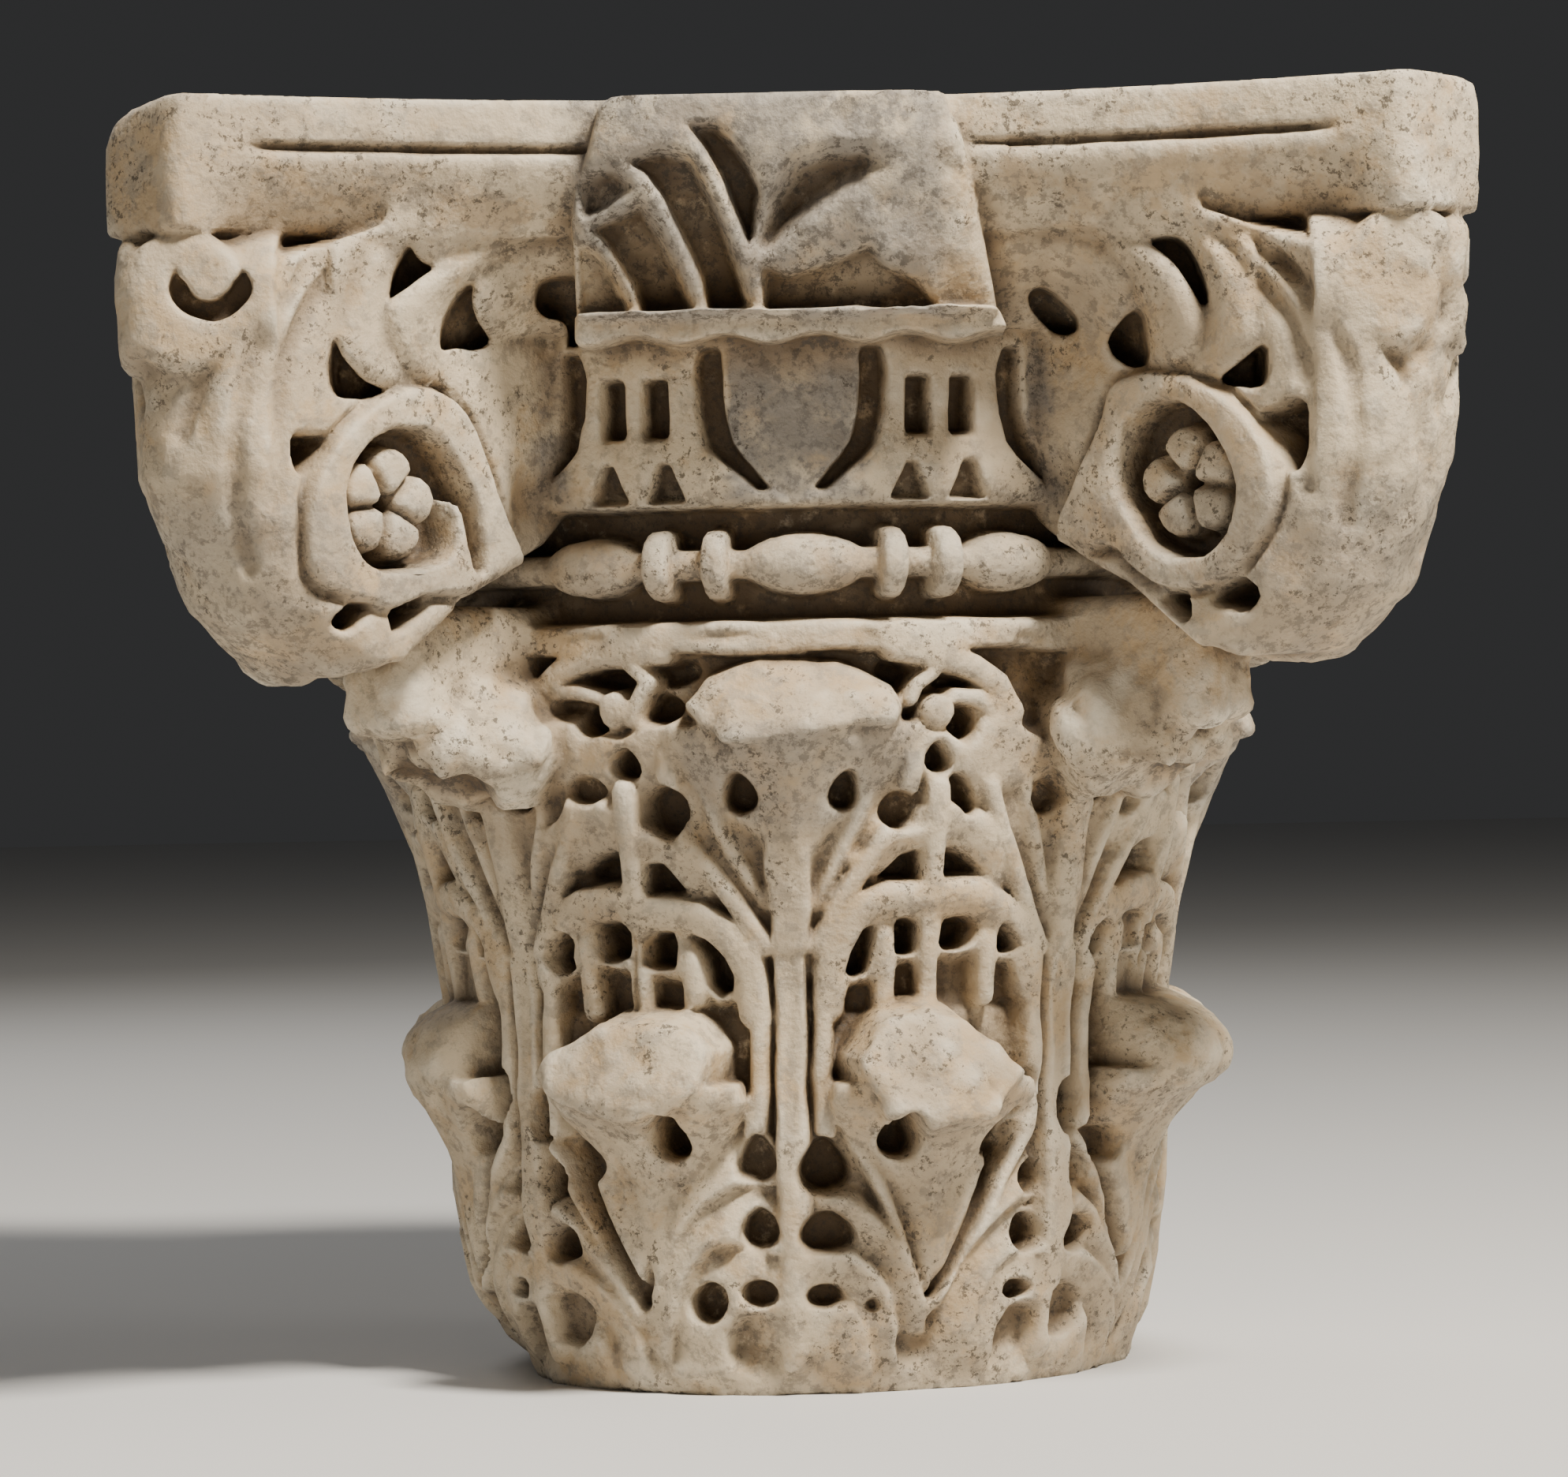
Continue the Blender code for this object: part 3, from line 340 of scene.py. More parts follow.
def upper_carving(relief):
    # Tops of the lobes between the fingers under the arches
    for points, top, fall, width in (
        (((-41, 143), (-38.5, 143.5), (-35, 147)), -2.0, 3.6, 18),
        (((-31.4, 147.5), (-28.5, 147.5), (-25, 149)), -1.6, 3.6, 19),
        (((-23.6, 145), (-21, 144.5), (-18.6, 143.5)), -1.6, 3.6, 18),
        (((-15, 139), (-13, 134.6), (-10, 136)), -2.6, 3.0, 12),
        (((4.2, 142), (6.5, 141.5), (9.3, 143)), -2.0, 3.6, 15),
        (((12.6, 148.2), (15, 148), (17, 148)), -1.6, 3.6, 20),
        (((18.6, 149.5), (22, 149.5), (25, 150)), -1.6, 3.6, 19),
        (((28.2, 147), (30.5, 146.5), (34, 143)), -1.8, 3.6, 17),
    ):
        relief.shelf(points[::-1], top, fall, width)
    for x in (-29.9, -21.4, 14.9, 21.0):
        relief.line(((x, 146), (x + 0.4, 130)), 1.8, 1.0)
    relief.ridge(((LEFT_LINE - 0.2, 128), (LEFT_LINE - 0.2, 160), (LEFT_LINE + 0.4, 205)), 3.7, -0.2)
    relief.ridge(((RIGHT_LINE - 0.1, 128), (RIGHT_LINE, 160), (RIGHT_LINE + 0.1, 205)), 3.6, -0.2)
    relief.line(((LEFT_LINE - 0.8, 126), (LEFT_LINE - 0.7, 168)), 1.2, 5.0)
    for x, low, high in ((-32.8, 131, 154.5), (-16.3, 131, 148.0), (11.1, 131, 156.0), (26.8, 134, 152.5)):
        relief.ridge(((x, low), (x, high)), 4.0, -0.9, soft=0.8, round_off=2.2)
    # Arches that spring from the leaf stems and run over the lower leaf
    for points, half in (
        (((-7.6, 130), (-8.2, 145), (-10.9, 156), (-15.2, 162.6), (-19.5, 164), (-24.2, 163.2)), 5.6),
        (((-24.4, 167), (-28, 168.2), (-32, 167.0), (-35.6, 162), (-38.4, 154), (-40.2, 142)), 6.0),
        (((3.0, 132), (3.6, 146), (5.4, 157), (8, 164), (11.5, 167.4), (17, 167.6)), 5.8),
        (((18, 167.6), (23, 167.6), (27, 164.2), (30.8, 157), (33.2, 148), (34.4, 136)), 6.0),
    ):
        relief.ridge(points, half, 0.4, soft=0.8, round_off=2.2)


ARCH_HOLES = (
    ((-40.0, 149), (-38.0, 143.2), (-35.6, 146.5), (-35.2, 156.5), (-37, 158.0), (-39, 154)),
    ((-30.5, 148.5), (-28, 148), (-25.8, 150), (-25.6, 159.6), (-28, 161), (-31.2, 159.8)),
    ((-23.7, 146.5), (-21, 145), (-18.9, 144.8), (-18.6, 153), (-19.0, 157), (-22, 157), (-23.7, 155)),
    (
        (-14.2, 139), (-12.7, 135.6), (-10.9, 137), (-10.6, 143),
        (-11.8, 149.5), (-14.2, 154.5), (-16.8, 156), (-15.2, 151),
    ),
    ((5.4, 143.5), (6.7, 142), (8.4, 143.6), (9, 150), (9.6, 159), (8, 157.8), (6.2, 151)),
    ((12.9, 149), (15.2, 148.6), (15.9, 151), (16.0, 159), (14.5, 160.8), (13.0, 160.3)),
    ((19.3, 152), (20.5, 150), (23, 150), (24.2, 152), (25, 157.6), (23, 160.4), (20, 159.4)),
    ((28.6, 148), (30.4, 148), (31.4, 150.5), (30.3, 154.5), (28.6, 158.4), (28.4, 153)),
)
CROWN_HOLES = (
    ((-33, 176), (-25.9, 175.4), (-26.2, 185.0), (-29.7, 183)),
    ((-22.4, 171.4), (-16.9, 171.4), (-19.6, 181), (-22.4, 180.5)),
    ((9.8, 174.6), (15.6, 174.6), (15.9, 184.6), (13.1, 182.6)),
    ((18.9, 175.3), (25.2, 175.3), (22, 182), (19.3, 184)),
)


def blade_carving(relief):
    """Upper leaf of this face: hollow sides between raised edges, up to the funnel of its tip."""
    blade = (
        (-4.8, 150), (-7.2, 160), (-10.4, 170), (-14, 180), (-16.8, 190), (-18.4, 200), (-19.2, 210),
        (-18, 224), (15, 224), (15.6, 212), (14.2, 204), (12.2, 196), (10.4, 187), (7.8, 178), (5.2, 170),
        (2.8, 160), (0.8, 150),
    )
    relief.raise_area(blade, -7.0, soft=1.0)
    for points in (
        ((-5.6, 152), (-8.9, 164), (-12.6, 177), (-15.9, 189), (-17.8, 203), (-17.6, 218)),
        ((1.4, 152), (4.1, 164), (7.6, 177), (11.0, 189), (13.4, 200), (14.4, 216)),
    ):
        relief.ridge(points, 3.0, -0.4, soft=0.9, round_off=1.4)
    for points in (
        ((-5.6, 166), (-8.6, 180), (-11.6, 194), (-13.4, 210)),
        ((1.6, 166), (4.4, 180), (7.2, 194), (9.2, 210)),
    ):
        relief.ridge(points, 2.4, -3.4, soft=1.4, round_off=1.6)
    midrib = ((-4.2, 204), (-0.4, 204), (0.9, 180), (0.7, 166), (0.1, 150), (-4.6, 150), (-5.3, 180))
    relief.pillow(midrib, 0.2, 0.8, 2.5)
    for axis, side in ((RIGHT_STEM, -1), (LEFT_STEM, 1)):
        bend = ((3.6, 150), (6.2, 163), (9.4, 177), (12.2, 190), (14.2, 206))
        edge = [(axis + side * a, z) for a, z in bend]
        ridge = [(axis + side * a, z) for a, z in ((2.4, 160), (4.6, 176), (6.8, 190), (8.2, 206))]
        outline = [(axis - side * 3, 150)] + edge + [(axis + side * 13, 224), (axis - side * 3, 224)]
        relief.raise_area(outline, -6.5, soft=1.0)
        relief.ridge(edge, 3.0, -0.4, round_off=1.4)
        relief.ridge(ridge, 2.6, -3.0, soft=1.4, round_off=1.8)
        relief.ridge(((axis, 150), (axis, 212)), 5.5, -0.2, soft=2.0, round_off=2.4)


def crown_carving(relief):
    """Small lobes, balls and drill holes between the blades, up to the rim."""
    for points, top, fall, width in (
        (((-33, 198), (-30.5, 201.5), (-27.4, 201.5), (-25.6, 199)), -0.6, 3.5, 15),
        (((-22.4, 190.5), (-19.5, 189.5), (-16.4, 186), (-14.4, 181)), -0.8, 3.5, 10),
        (((9.6, 186.5), (12.5, 190.5), (15.8, 191.5)), -0.6, 3.5, 10),
        (((19.4, 197.8), (21.8, 197.2), (24.2, 194.5), (25.8, 188), (27, 182)), -0.4, 3.5, 11),
        (((-36, 224), (-33, 227.5), (-30.3, 227), (-29.6, 224)), -0.2, 3.2, 17),
        (((-26, 223.5), (-24, 221.6), (-21.8, 223.2), (-19.6, 227.6), (-16.3, 227.6)), -0.2, 3.0, 12),
        (((12.4, 225.5), (14.4, 226), (16, 222.5), (18.8, 222.2), (20, 220.8)), -0.2, 3.0, 12),
        (((22.2, 221.5), (23.4, 227), (26, 228.5), (28.6, 225)), 0.0, 3.2, 18),
    ):
        relief.shelf(points, top, fall, width)
    for x, z, a, b, depth, lean, point in (
        (-29.4, 205.4, 2.9, 5.0, 11.0, 0, 0.0),
        (-18.5, 198.5, 2.9, 9.0, 20.0, 12, 0.0),
        (12.7, 197.6, 2.4, 6.6, 15.0, -20, 0.0),
        (21.2, 202.4, 1.5, 7.6, 18.0, 22, 0.0),
        (-27.7, 229.4, 1.9, 5.8, 20.0, 0, 0.2),
        (-18.6, 232.4, 2.8, 5.2, 20.0, -12, 0.0),
        (13.7, 229.2, 1.1, 3.8, 14.0, 0, 0.0),
        (21.2, 226.4, 1.8, 5.4, 20.0, -10, 0.2),
        (-26.2, 243.0, 3.9, 3.6, 20.0, -8, 0.0),
        (-16.8, 244.4, 3.5, 4.4, 20.0, 12, 0.0),
        (12.2, 243.0, 2.4, 4.4, 20.0, -15, 0.0),
        (20.3, 240.0, 2.7, 3.2, 18.0, -12, 0.0),
        (34.3, 200.5, 2.6, 5.8, 14.0, -18, 0.0),
        (-41.8, 206.0, 2.6, 7.2, 18.0, 18, 0.0),
    ):
        relief.hole(x, z, a, b, depth, lean, point)
    relief.boss(-24.2, 232.4, 2.2, 6.8, 0.6)
    relief.boss(17.5, 230.4, 2.3, 5.8, 0.6)
    for points, half in (
        (((-32.5, 238.5), (-29.5, 238.8), (-26.8, 236.8)), 2.6),
        (((-22.0, 247.5), (-19.6, 242), (-20.8, 236), (-21.8, 229)), 2.5),
        (((17.0, 243.5), (14.7, 239.5), (13.8, 234)), 2.3),
        (((19.8, 235.8), (22.8, 235.2), (24.6, 231)), 2.6),
    ):
        relief.ridge(points, half, -0.2, soft=0.8)
    for points in (
        ((-18, 251.5), (-22, 251), (-27, 250.4), (-31.5, 246.4), (-34, 240), (-35.5, 228)),
        ((12, 251), (17.5, 248.6), (22.4, 245), (25.8, 239), (27.8, 230)),
    ):
        relief.ridge(points, 4.2, 0.4, soft=0.9, round_off=1.6)
    relief.hole(-23.3, 214.6, 1.9, 5.4, 18.0, 0, 0.5)
    relief.hole(17.7, 215.2, 1.7, 5.2, 18.0, 0, 0.5)


LEFT_TIP = (
    (-47.5, 111), (-45, 117), (-40, 121), (-35, 127), (-28, 128.5), (-22, 127.5), (-19, 124), (-16, 118),
    (-17, 110), (-18, 105), (-20, 101), (-25, 97), (-30, 95), (-35, 98), (-40, 100), (-44, 104),
)
RIGHT_TIP = (
    (7.5, 115), (10, 121), (13, 128), (20, 131), (25, 128), (29, 121), (34, 112), (35, 109), (31, 101),
    (28, 95), (23, 92.5), (15, 91.5), (12, 97), (10, 104),
)
UPPER_TIP = (
    (-15.5, 234), (-13, 242), (-9, 246), (-6, 248), (0, 248.5), (5, 247), (8, 243), (12, 237), (13, 231),
    (12, 226.5), (8, 226), (5, 225), (0, 223), (-5, 221.5), (-10, 221.5), (-13, 228),
)
# Height, half width in degrees and radius of the leaf as it turns out towards its tip
LOWER_FUNNEL = (
    (34.0, 50.0, 62.0, 72.0, 80.0, 88.0, 95.0, 101.0, 106.0),
    (0.5, 2.9, 4.8, 6.4, 8.2, 9.8, 11.0, 11.5, 11.0),
    (124.0, 127.0, 128.8, 131.0, 134.5, 139.5, 145.5, 150.5, 152.0),
)
UPPER_FUNNEL = (
    (160.0, 172.0, 182.0, 190.0, 198.0, 206.0, 214.0, 221.0, 226.0),
    (2.6, 3.0, 4.0, 6.2, 8.8, 11.2, 12.8, 13.2, 12.8),
    (134.0, 137.5, 140.5, 143.5, 147.0, 150.5, 154.5, 158.5, 159.0),
)


def shrink(points, share):
    """Outlines read at the bell's radius, moved to where a tip that stands out really is."""
    return [(math.degrees(math.asin(share * math.sin(math.radians(x)))), z) for x, z in points]


def funnel(relief, axis, widths, radius, drop=7.0, flutes=5):
    """Leaf that widens and bends outward under its tip."""
    heights, halves, reach = widths
    half = np.interp(relief.z, heights, halves)
    share = np.abs(relief.x / relief.scale - axis) / half
    made = np.interp(relief.z, heights, reach) - drop * np.clip(share, 0.0, 2.0) ** 2
    made += 0.55 * np.cos(share * math.pi * flutes / 2) * smooth(half, 3.0, 7.0)
    keep = (relief.z > heights[0]) & (relief.z < heights[-1] + 1.0) & (share < 1.25)
    return np.maximum(radius, np.where(keep, made, 0.0))


def broken_tip(relief, points, centre, top, drop, radius, seed):
    """Rough slanted face of a broken leaf tip, in millimetres of radius."""
    gap = relief.inside(points)
    face = top - drop * (relief.z - centre[1])
    waves = rough(relief, 9.0, seed)
    made = face + 1.6 * waves - 0.10 * np.clip(gap + 5.0, 0.0, None) ** 2
    made = made - 3.0 * np.clip(gap + 0.3, 0.0, None)
    return np.maximum(radius, np.where(gap < 12.0, made, 0.0))


def whole_tip(relief, axis, half, reach, radius):
    """Radius in millimetres of a rounded, turned over tip that is still there."""
    profile = (
        (94.0, 99.0, 104.0, 110.0, 116.0, 122.0, 127.0, 130.0, 132.0),
        (14.0, 25.0, 30.5, 32.5, 31.0, 26.0, 17.0, 8.0, 0.0),
    )
    across = np.clip(1.0 - (np.abs(relief.x / relief.scale - axis) / half) ** 2.6, 0.0, 1.0)
    made = 127.0 + table(profile, relief.z) * reach * np.sqrt(across)
    return np.maximum(radius, np.where((across > 0.0) & (relief.z > 94.0), made, 0.0))


def bell_face(front, mirrored):
    """Radius map of one face of the bell, 90 degrees wide, in millimetres."""
    theta = -48.0 + MAP_THETA * (np.arange(int(90 / MAP_THETA)) + 0.5)
    z = np.arange(-8.0, 262.0, MAP_Z)
    across = np.degrees(np.arcsin(0.95 * np.sin(np.radians(theta))))
    across, up = np.meshgrid(across, z)
    # The hand of the carver: lines that are never quite straight
    sway = 0.35 * np.sin(up * 0.071 + 1.0) * np.cos(across * 0.13) + 0.25 * np.sin(up * 0.19 + across * 0.21)
    lift = 0.9 * np.sin(across * 0.17 + 0.6) * np.cos(up * 0.043) + 0.5 * np.sin(across * 0.41 + up * 0.08)
    if front:
        sway = 0.4 * sway
        lift = 0.4 * lift
    profile = table(BELL_PROFILE, up)
    relief = Relief(across + sway, up + lift, DEGREE_WIDTH, np.where(up < 130, -9.0, -11.5))
    ground_carving(relief)
    upper_carving(relief)
    leaf_body(relief)
    stem_carving(relief)
    for spot in LOWER_HOLES:
        relief.hole(*spot)
    for points in ARCH_HOLES:
        relief.pit(points, 22.0)
    blade_carving(relief)
    crown_carving(relief)
    for points in CROWN_HOLES:
        relief.pit(points, 20.0)
    # Worn foot
    relief.h = relief.h + (-2.4 - relief.h) * 0.85 * (1.0 - smooth(up, 3.0, 17.0))

    # Rim
    edge = 250.5 + 0.8 * np.sin(across * 0.3)
    rim = window(up, edge, 261.0, 1.2)
    relief.h = np.maximum(relief.h, (RIM_RADIUS * 1000 - 0.4 + 0.5 * np.sin(across * 0.5)) * rim - profile)
    for dent in RIM_DENTS:
        relief.hole(*dent)
    radius = profile + relief.h

    # Leaf tips and the leaves that bend out to them
    radius = funnel(relief, -23.2, LOWER_FUNNEL, radius)
    radius = funnel(relief, 17.4, LOWER_FUNNEL, radius)
    radius = funnel(relief, -1.6, UPPER_FUNNEL, radius, drop=9.0, flutes=7)
    if front:
        radius = broken_tip(relief, shrink(LEFT_TIP, 0.797), (-23.2, 109.0), 152.5, 0.30, radius, 31)
        radius = broken_tip(relief, shrink(RIGHT_TIP, 0.797), (16.8, 109.0), 153.0, 0.30, radius, 33)
    else:
        radius = whole_tip(relief, -23.2, 11.5, 1.0, radius)
        radius = whole_tip(relief, 17.0, 11.5, 0.88, radius)
    radius = broken_tip(relief, shrink(UPPER_TIP, 0.90), (-1.0, 236.0), 155.0, 0.65, radius, 35)

    # The eyes are drilled through the turned leaves
    relief.h = radius - profile
    for spot in EYES:
        relief.hole(*spot)
    radius = profile + relief.h
    if mirrored:
        radius = radius[:, ::-1]
    return radius


# Bead ring, egg ring and the drum above

BEADS = ((-28.2, 7.9), (0.7, 9.3), (28.8, 7.5))
REELS = (-18.2, -10.7, 12.2, 19.2)
EGG_EDGE = (
    (300.0, 303.0, 306.0, 310.0, 315.0, 320.0, 330.0, 340.0, 352.0),
    (0.1, 1.5, 2.8, 4.1, 5.8, 7.1, 8.1, 8.4, 8.5),
)


def ring_radius(theta, z):
    side = np.mod(theta + 45.0, 90.0) - 45.0
    half = np.full(z.shape, 5.2)
    for spot, span in BEADS:
        out = np.clip(1.0 - ((side - spot) / span) ** 2, 0.0, 1.0)
        half = np.maximum(half, 10.2 * out ** 0.62)
    for spot in REELS:
        edge = 12.2 - 1.6 * np.clip(np.abs(side - spot) / 1.9, 0.0, 1.0) ** 3
        half = np.maximum(half, edge * (1.0 - smooth(np.abs(side - spot), 1.5, 2.1)))
    rise = half ** 2 - (z - BEAD_CENTRE * 1000) ** 2
    made = BEAD_AXIS_RADIUS * 1000 + np.sqrt(np.clip(rise, 0.0, None))
    back = NECK_RADIUS * 1000 + np.where(z > 291, 1.0, 0.0)
    return np.where(rise > 0.0, np.maximum(made, back), back)


def egg_radius(theta, z):
    side = np.mod(theta + 45.0, 90.0) - 45.0
    middle = -0.6
    egg = np.minimum(np.abs(side - middle), np.abs(np.abs(side - middle) - 39.3))
    half = table(EGG_EDGE, z)
    h = np.full(z.shape, -0.6)
    # Groove round the eggs and the husks that follow it
    rim = egg - half
    wide = 2.2 + 1.3 * window(z, 320, 342, 14)
    groove = smooth(rim, 0.2, 0.7) * (1.0 - smooth(rim, wide, wide + 0.5))
    groove = groove * smooth(z, 303.5, 305.5) * (1.0 - smooth(z, 350, 352))
    # Eggs: broken, nearly flat faces
    inside = 1.0 - smooth(rim, -0.8, 0.6)
    face = -1.6 - 2.2 * smooth(z, 340, 304) + 0.35 * np.sin(side * 1.1 + z * 0.21)
    face = face - 0.5 * np.clip(egg / np.maximum(half, 0.5), 0.0, 1.0) ** 3
    h = h + (face - h) * inside
    h = h + (-11.0 - h) * groove
    # Darts between the husks
    for centre, width in ((-20.9, 1.35), (18.5, 1.35)):
        gap = np.abs(side - centre)
        gaps = window(gap, width + 0.2, width + 2.9, 0.35) * window(z, 320.5, 341.0, 1.0)
        h = np.minimum(h, h + (-13.0 - h) * gaps)
        under = window(gap, 1.6 + 0.15 * (z - 301), 6.2 - 0.16 * (z - 301), 0.5)
        under = under * window(z, 301.5, 313.0, 1.0)
        h = np.minimum(h, h + (-10.0 - h) * under)
        barb = 5.2 * np.clip((z - 300.5) / 21.5, 0.0, 1.0)
        arrow = (1.0 - smooth(gap - barb, -0.6, 0.4)) * window(z, 301.0, 322.0, 1.0)
        h = h + (-0.2 - 0.25 * gap - h) * arrow
    foot = 2.6 * (1.0 - smooth(z, 299, 309))
    return ECHINUS_RADIUS * 1000 + h - foot + 0.8 * smooth(z, 345, 353)


def core_map():
    parts = [bell_face(True, False), bell_face(False, False), bell_face(False, True), bell_face(False, False)]
    bell = np.concatenate(parts, axis=1)
    count = bell.shape[1]
    theta = -48.0 + MAP_THETA * (np.arange(count) + 0.5)
    z = np.arange(-8.0, 410.0, MAP_Z)
    theta_map, z_map = np.meshgrid(theta, z)
    radius = np.full(z_map.shape, DRUM_RADIUS * 1000)
    radius = np.where(z_map <= ECHINUS_TOP * 1000, egg_radius(theta_map, z_map), radius)
    radius = np.where(z_map < ECHINUS_BOTTOM * 1000, ring_radius(theta_map, z_map), radius)
    radius[:bell.shape[0], :] = bell
    # Reach of the side tips: whole on the right, shorter on the left
    left = (1.0 - smooth(np.abs(theta_map - 287.0), 11.0, 16.0)) * window(z_map, 66, 131, 2)
    radius = radius - left * np.clip(radius - 131.0, 0.0, None) * 0.3
    # Worn foot, chipped most on the left
    turn = np.radians(theta_map)
    wear = 2.2 + 1.4 * np.sin(3.0 * turn + 0.7) + 0.9 * np.sin(7.0 * turn) + 0.7 * np.sin(17.0 * turn + 1.0)
    radius = radius - wear * (1.0 - smooth(z_map, 0.0, 13.0 + 3.0 * np.sin(5.0 * turn)))
    off = np.abs(np.mod(theta_map + 88.0 + 180.0, 360.0) - 180.0)
    chip = 12.0 * (1.0 - smooth(off, 8.0, 46.0))
    radius = radius - chip * (1.0 - smooth(z_map, 0.0, 34.0))
    radius = radius / 1000.0
    # How much a radial distance overstates the true one where the surface slopes
    slope_z = np.gradient(radius, MAP_Z / 1000.0, axis=0)
    slope_t = np.gradient(radius, math.radians(MAP_THETA), axis=1) / radius
    lean = 1.0 / np.sqrt(1.0 + np.clip(slope_z, -3, 3) ** 2 + np.clip(slope_t, -3, 3) ** 2)
    return theta, z / 1000.0, radius, lean


# Volutes, in the upright plane of their corner: distance out and height in millimetres

NOSE = (
    (243.7, 248.5, 256.0, 266.2, 287.0, 309.5, 337.0, 365.0, 400.0),
    (206.0, 212.0, 222.0, 234.5, 243.5, 255.5, 255.5, 257.5, 260.0),
)
UNDERSIDE = (
    (110, 130, 145, 160, 172, 185, 200, 215, 230, 245, 255, 270, 285, 300),
    (300, 300, 287, 280, 274, 268, 257, 246.5, 243.7, 246, 251, 262, 280, 315),
)
LEAF_TOP = ((110, 120, 176, 219, 247, 282, 310, 330), (398, 397, 396, 391, 383, 373, 364, 360))


# Outlines of the two volutes of a face, as read in the enlarged parts: ring, sunk ground, rosette,
# drilled pockets, flutes and lower band. The middle flute alone is in millimetres out and up.
LEFT_VOLUTE = {
    "ring": (
        (640, 1180), (615, 1000), (640, 860), (700, 760), (760, 690), (850, 620), (920, 595), (1010, 605),
        (1080, 650), (1130, 740), (1170, 860), (1210, 980), (1260, 1090), (1330, 1150), (1300, 1230),
        (1200, 1250), (1100, 1215), (980, 1220), (880, 1270), (760, 1230),
    ),
    "sunk": (
        (735, 960), (735, 900), (760, 820), (810, 755), (880, 720), (960, 720), (1020, 760), (1065, 830),
        (1100, 900), (1125, 960), (1141, 1060), (1150, 1160), (1119, 1150), (1095, 1050), (1075, 960),
        (1045, 920), (1060, 1010), (1055, 1090), (1020, 1120), (960, 1140), (840, 1150), (780, 1110),
        (745, 1040),
    ),
    "rosette": (886, 946),
    "pockets": (
        ((585, 730), (640, 740), (700, 745), (660, 810), (615, 855), (595, 820)),
        ((880, 1270), (980, 1220), (992, 1262), (890, 1340)),
        ((712, 1310), (725, 1280), (770, 1250), (830, 1240), (812, 1275), (760, 1330)),
    ),
    "flutes": (
        ((560, 230), (430, 400), (350, 560), (290, 722)),
        ((760, 170), (640, 330), (570, 480), (545, 620), (545, 770), (535, 940)),
    ),
    "band": ((1310, 1190), (1200, 1290), (1080, 1370), (960, 1430), (830, 1470), (700, 1490)),
    "middle_flute": ((250, 379), (267, 360), (277, 342), (281, 322), (281, 300), (274, 280)),
}
RIGHT_VOLUTE = {
    "ring": (
        (150, 1030), (230, 860), (300, 700), (330, 575), (450, 545), (560, 565), (680, 620), (760, 700),
        (820, 820), (830, 920), (790, 1040), (710, 1140), (600, 1200), (480, 1200), (380, 1130),
        (340, 1070), (240, 1080),
    ),
    "sunk": (
        (350, 800), (380, 700), (440, 645), (510, 632), (590, 670), (660, 760), (705, 860), (708, 940),
        (680, 1040), (620, 1100), (560, 1112), (490, 1098), (430, 1050), (400, 990), (360, 930),
        (345, 870),
    ),
    "rosette": (535, 882),
    "pockets": (
        ((745, 685), (850, 620), (890, 640), (890, 800), (865, 860), (820, 800), (780, 720)),
        ((450, 1215), (555, 1225), (555, 1305), (500, 1280)),
        ((610, 1230), (700, 1160), (765, 1215), (725, 1270), (650, 1255)),
    ),
    "flutes": (
        ((700, 130), (900, 260), (1100, 420), (1180, 560)),
        ((730, 230), (850, 380), (900, 520), (901, 678), (905, 888)),
    ),
    "band": ((175, 1068), (290, 1160), (400, 1260), (500, 1330), (620, 1390), (760, 1400)),
    "middle_flute": ((250, 374), (272, 352), (279, 334), (280, 312), (274, 288)),
}


def sight(side, spot):
    """Slopes across and up of the line of sight through a point of an enlarged part."""
    left, top, scale = LEFT_PART if side < 0 else RIGHT_PART
    dx = left + spot[0] / scale - PICTURE_MIDDLE[0]
    dy = PICTURE_MIDDLE[1] - top - spot[1] / scale
    across = dx * math.cos(ROLL) + dy * math.sin(ROLL)
    up = dy * math.cos(ROLL) - dx * math.sin(ROLL)
    return across / FOCAL, up / FOCAL


def on_volute(side, points):
    """Readings as distance out along the corner and height, on the volute's face towards the camera."""
    slant = math.sqrt(0.5)
    face = VOLUTE_HALF * 1000.0 * slant
    made = []
    for spot in points:
        across, up = sight(side, spot)
        across = side * across
        out = (across * (CAMERA_FAR - face) + face + side * CAMERA_X) / (slant * (1.0 + across))
        made.append((round(out, 1), round(CAMERA_Z + up * (CAMERA_FAR - slant * out - face), 1)))
    return tuple(made)


def on_cove(side, points):
    """Readings as distance from the middle and height, on the upright plane of the covering leaf."""
    far = CAMERA_FAR - COVE_OUT
    made = []
    for spot in points:
        across, up = sight(side, spot)
        made.append((round(abs(across * far + CAMERA_X), 1), round(CAMERA_Z + up * far, 1)))
    return tuple(made)


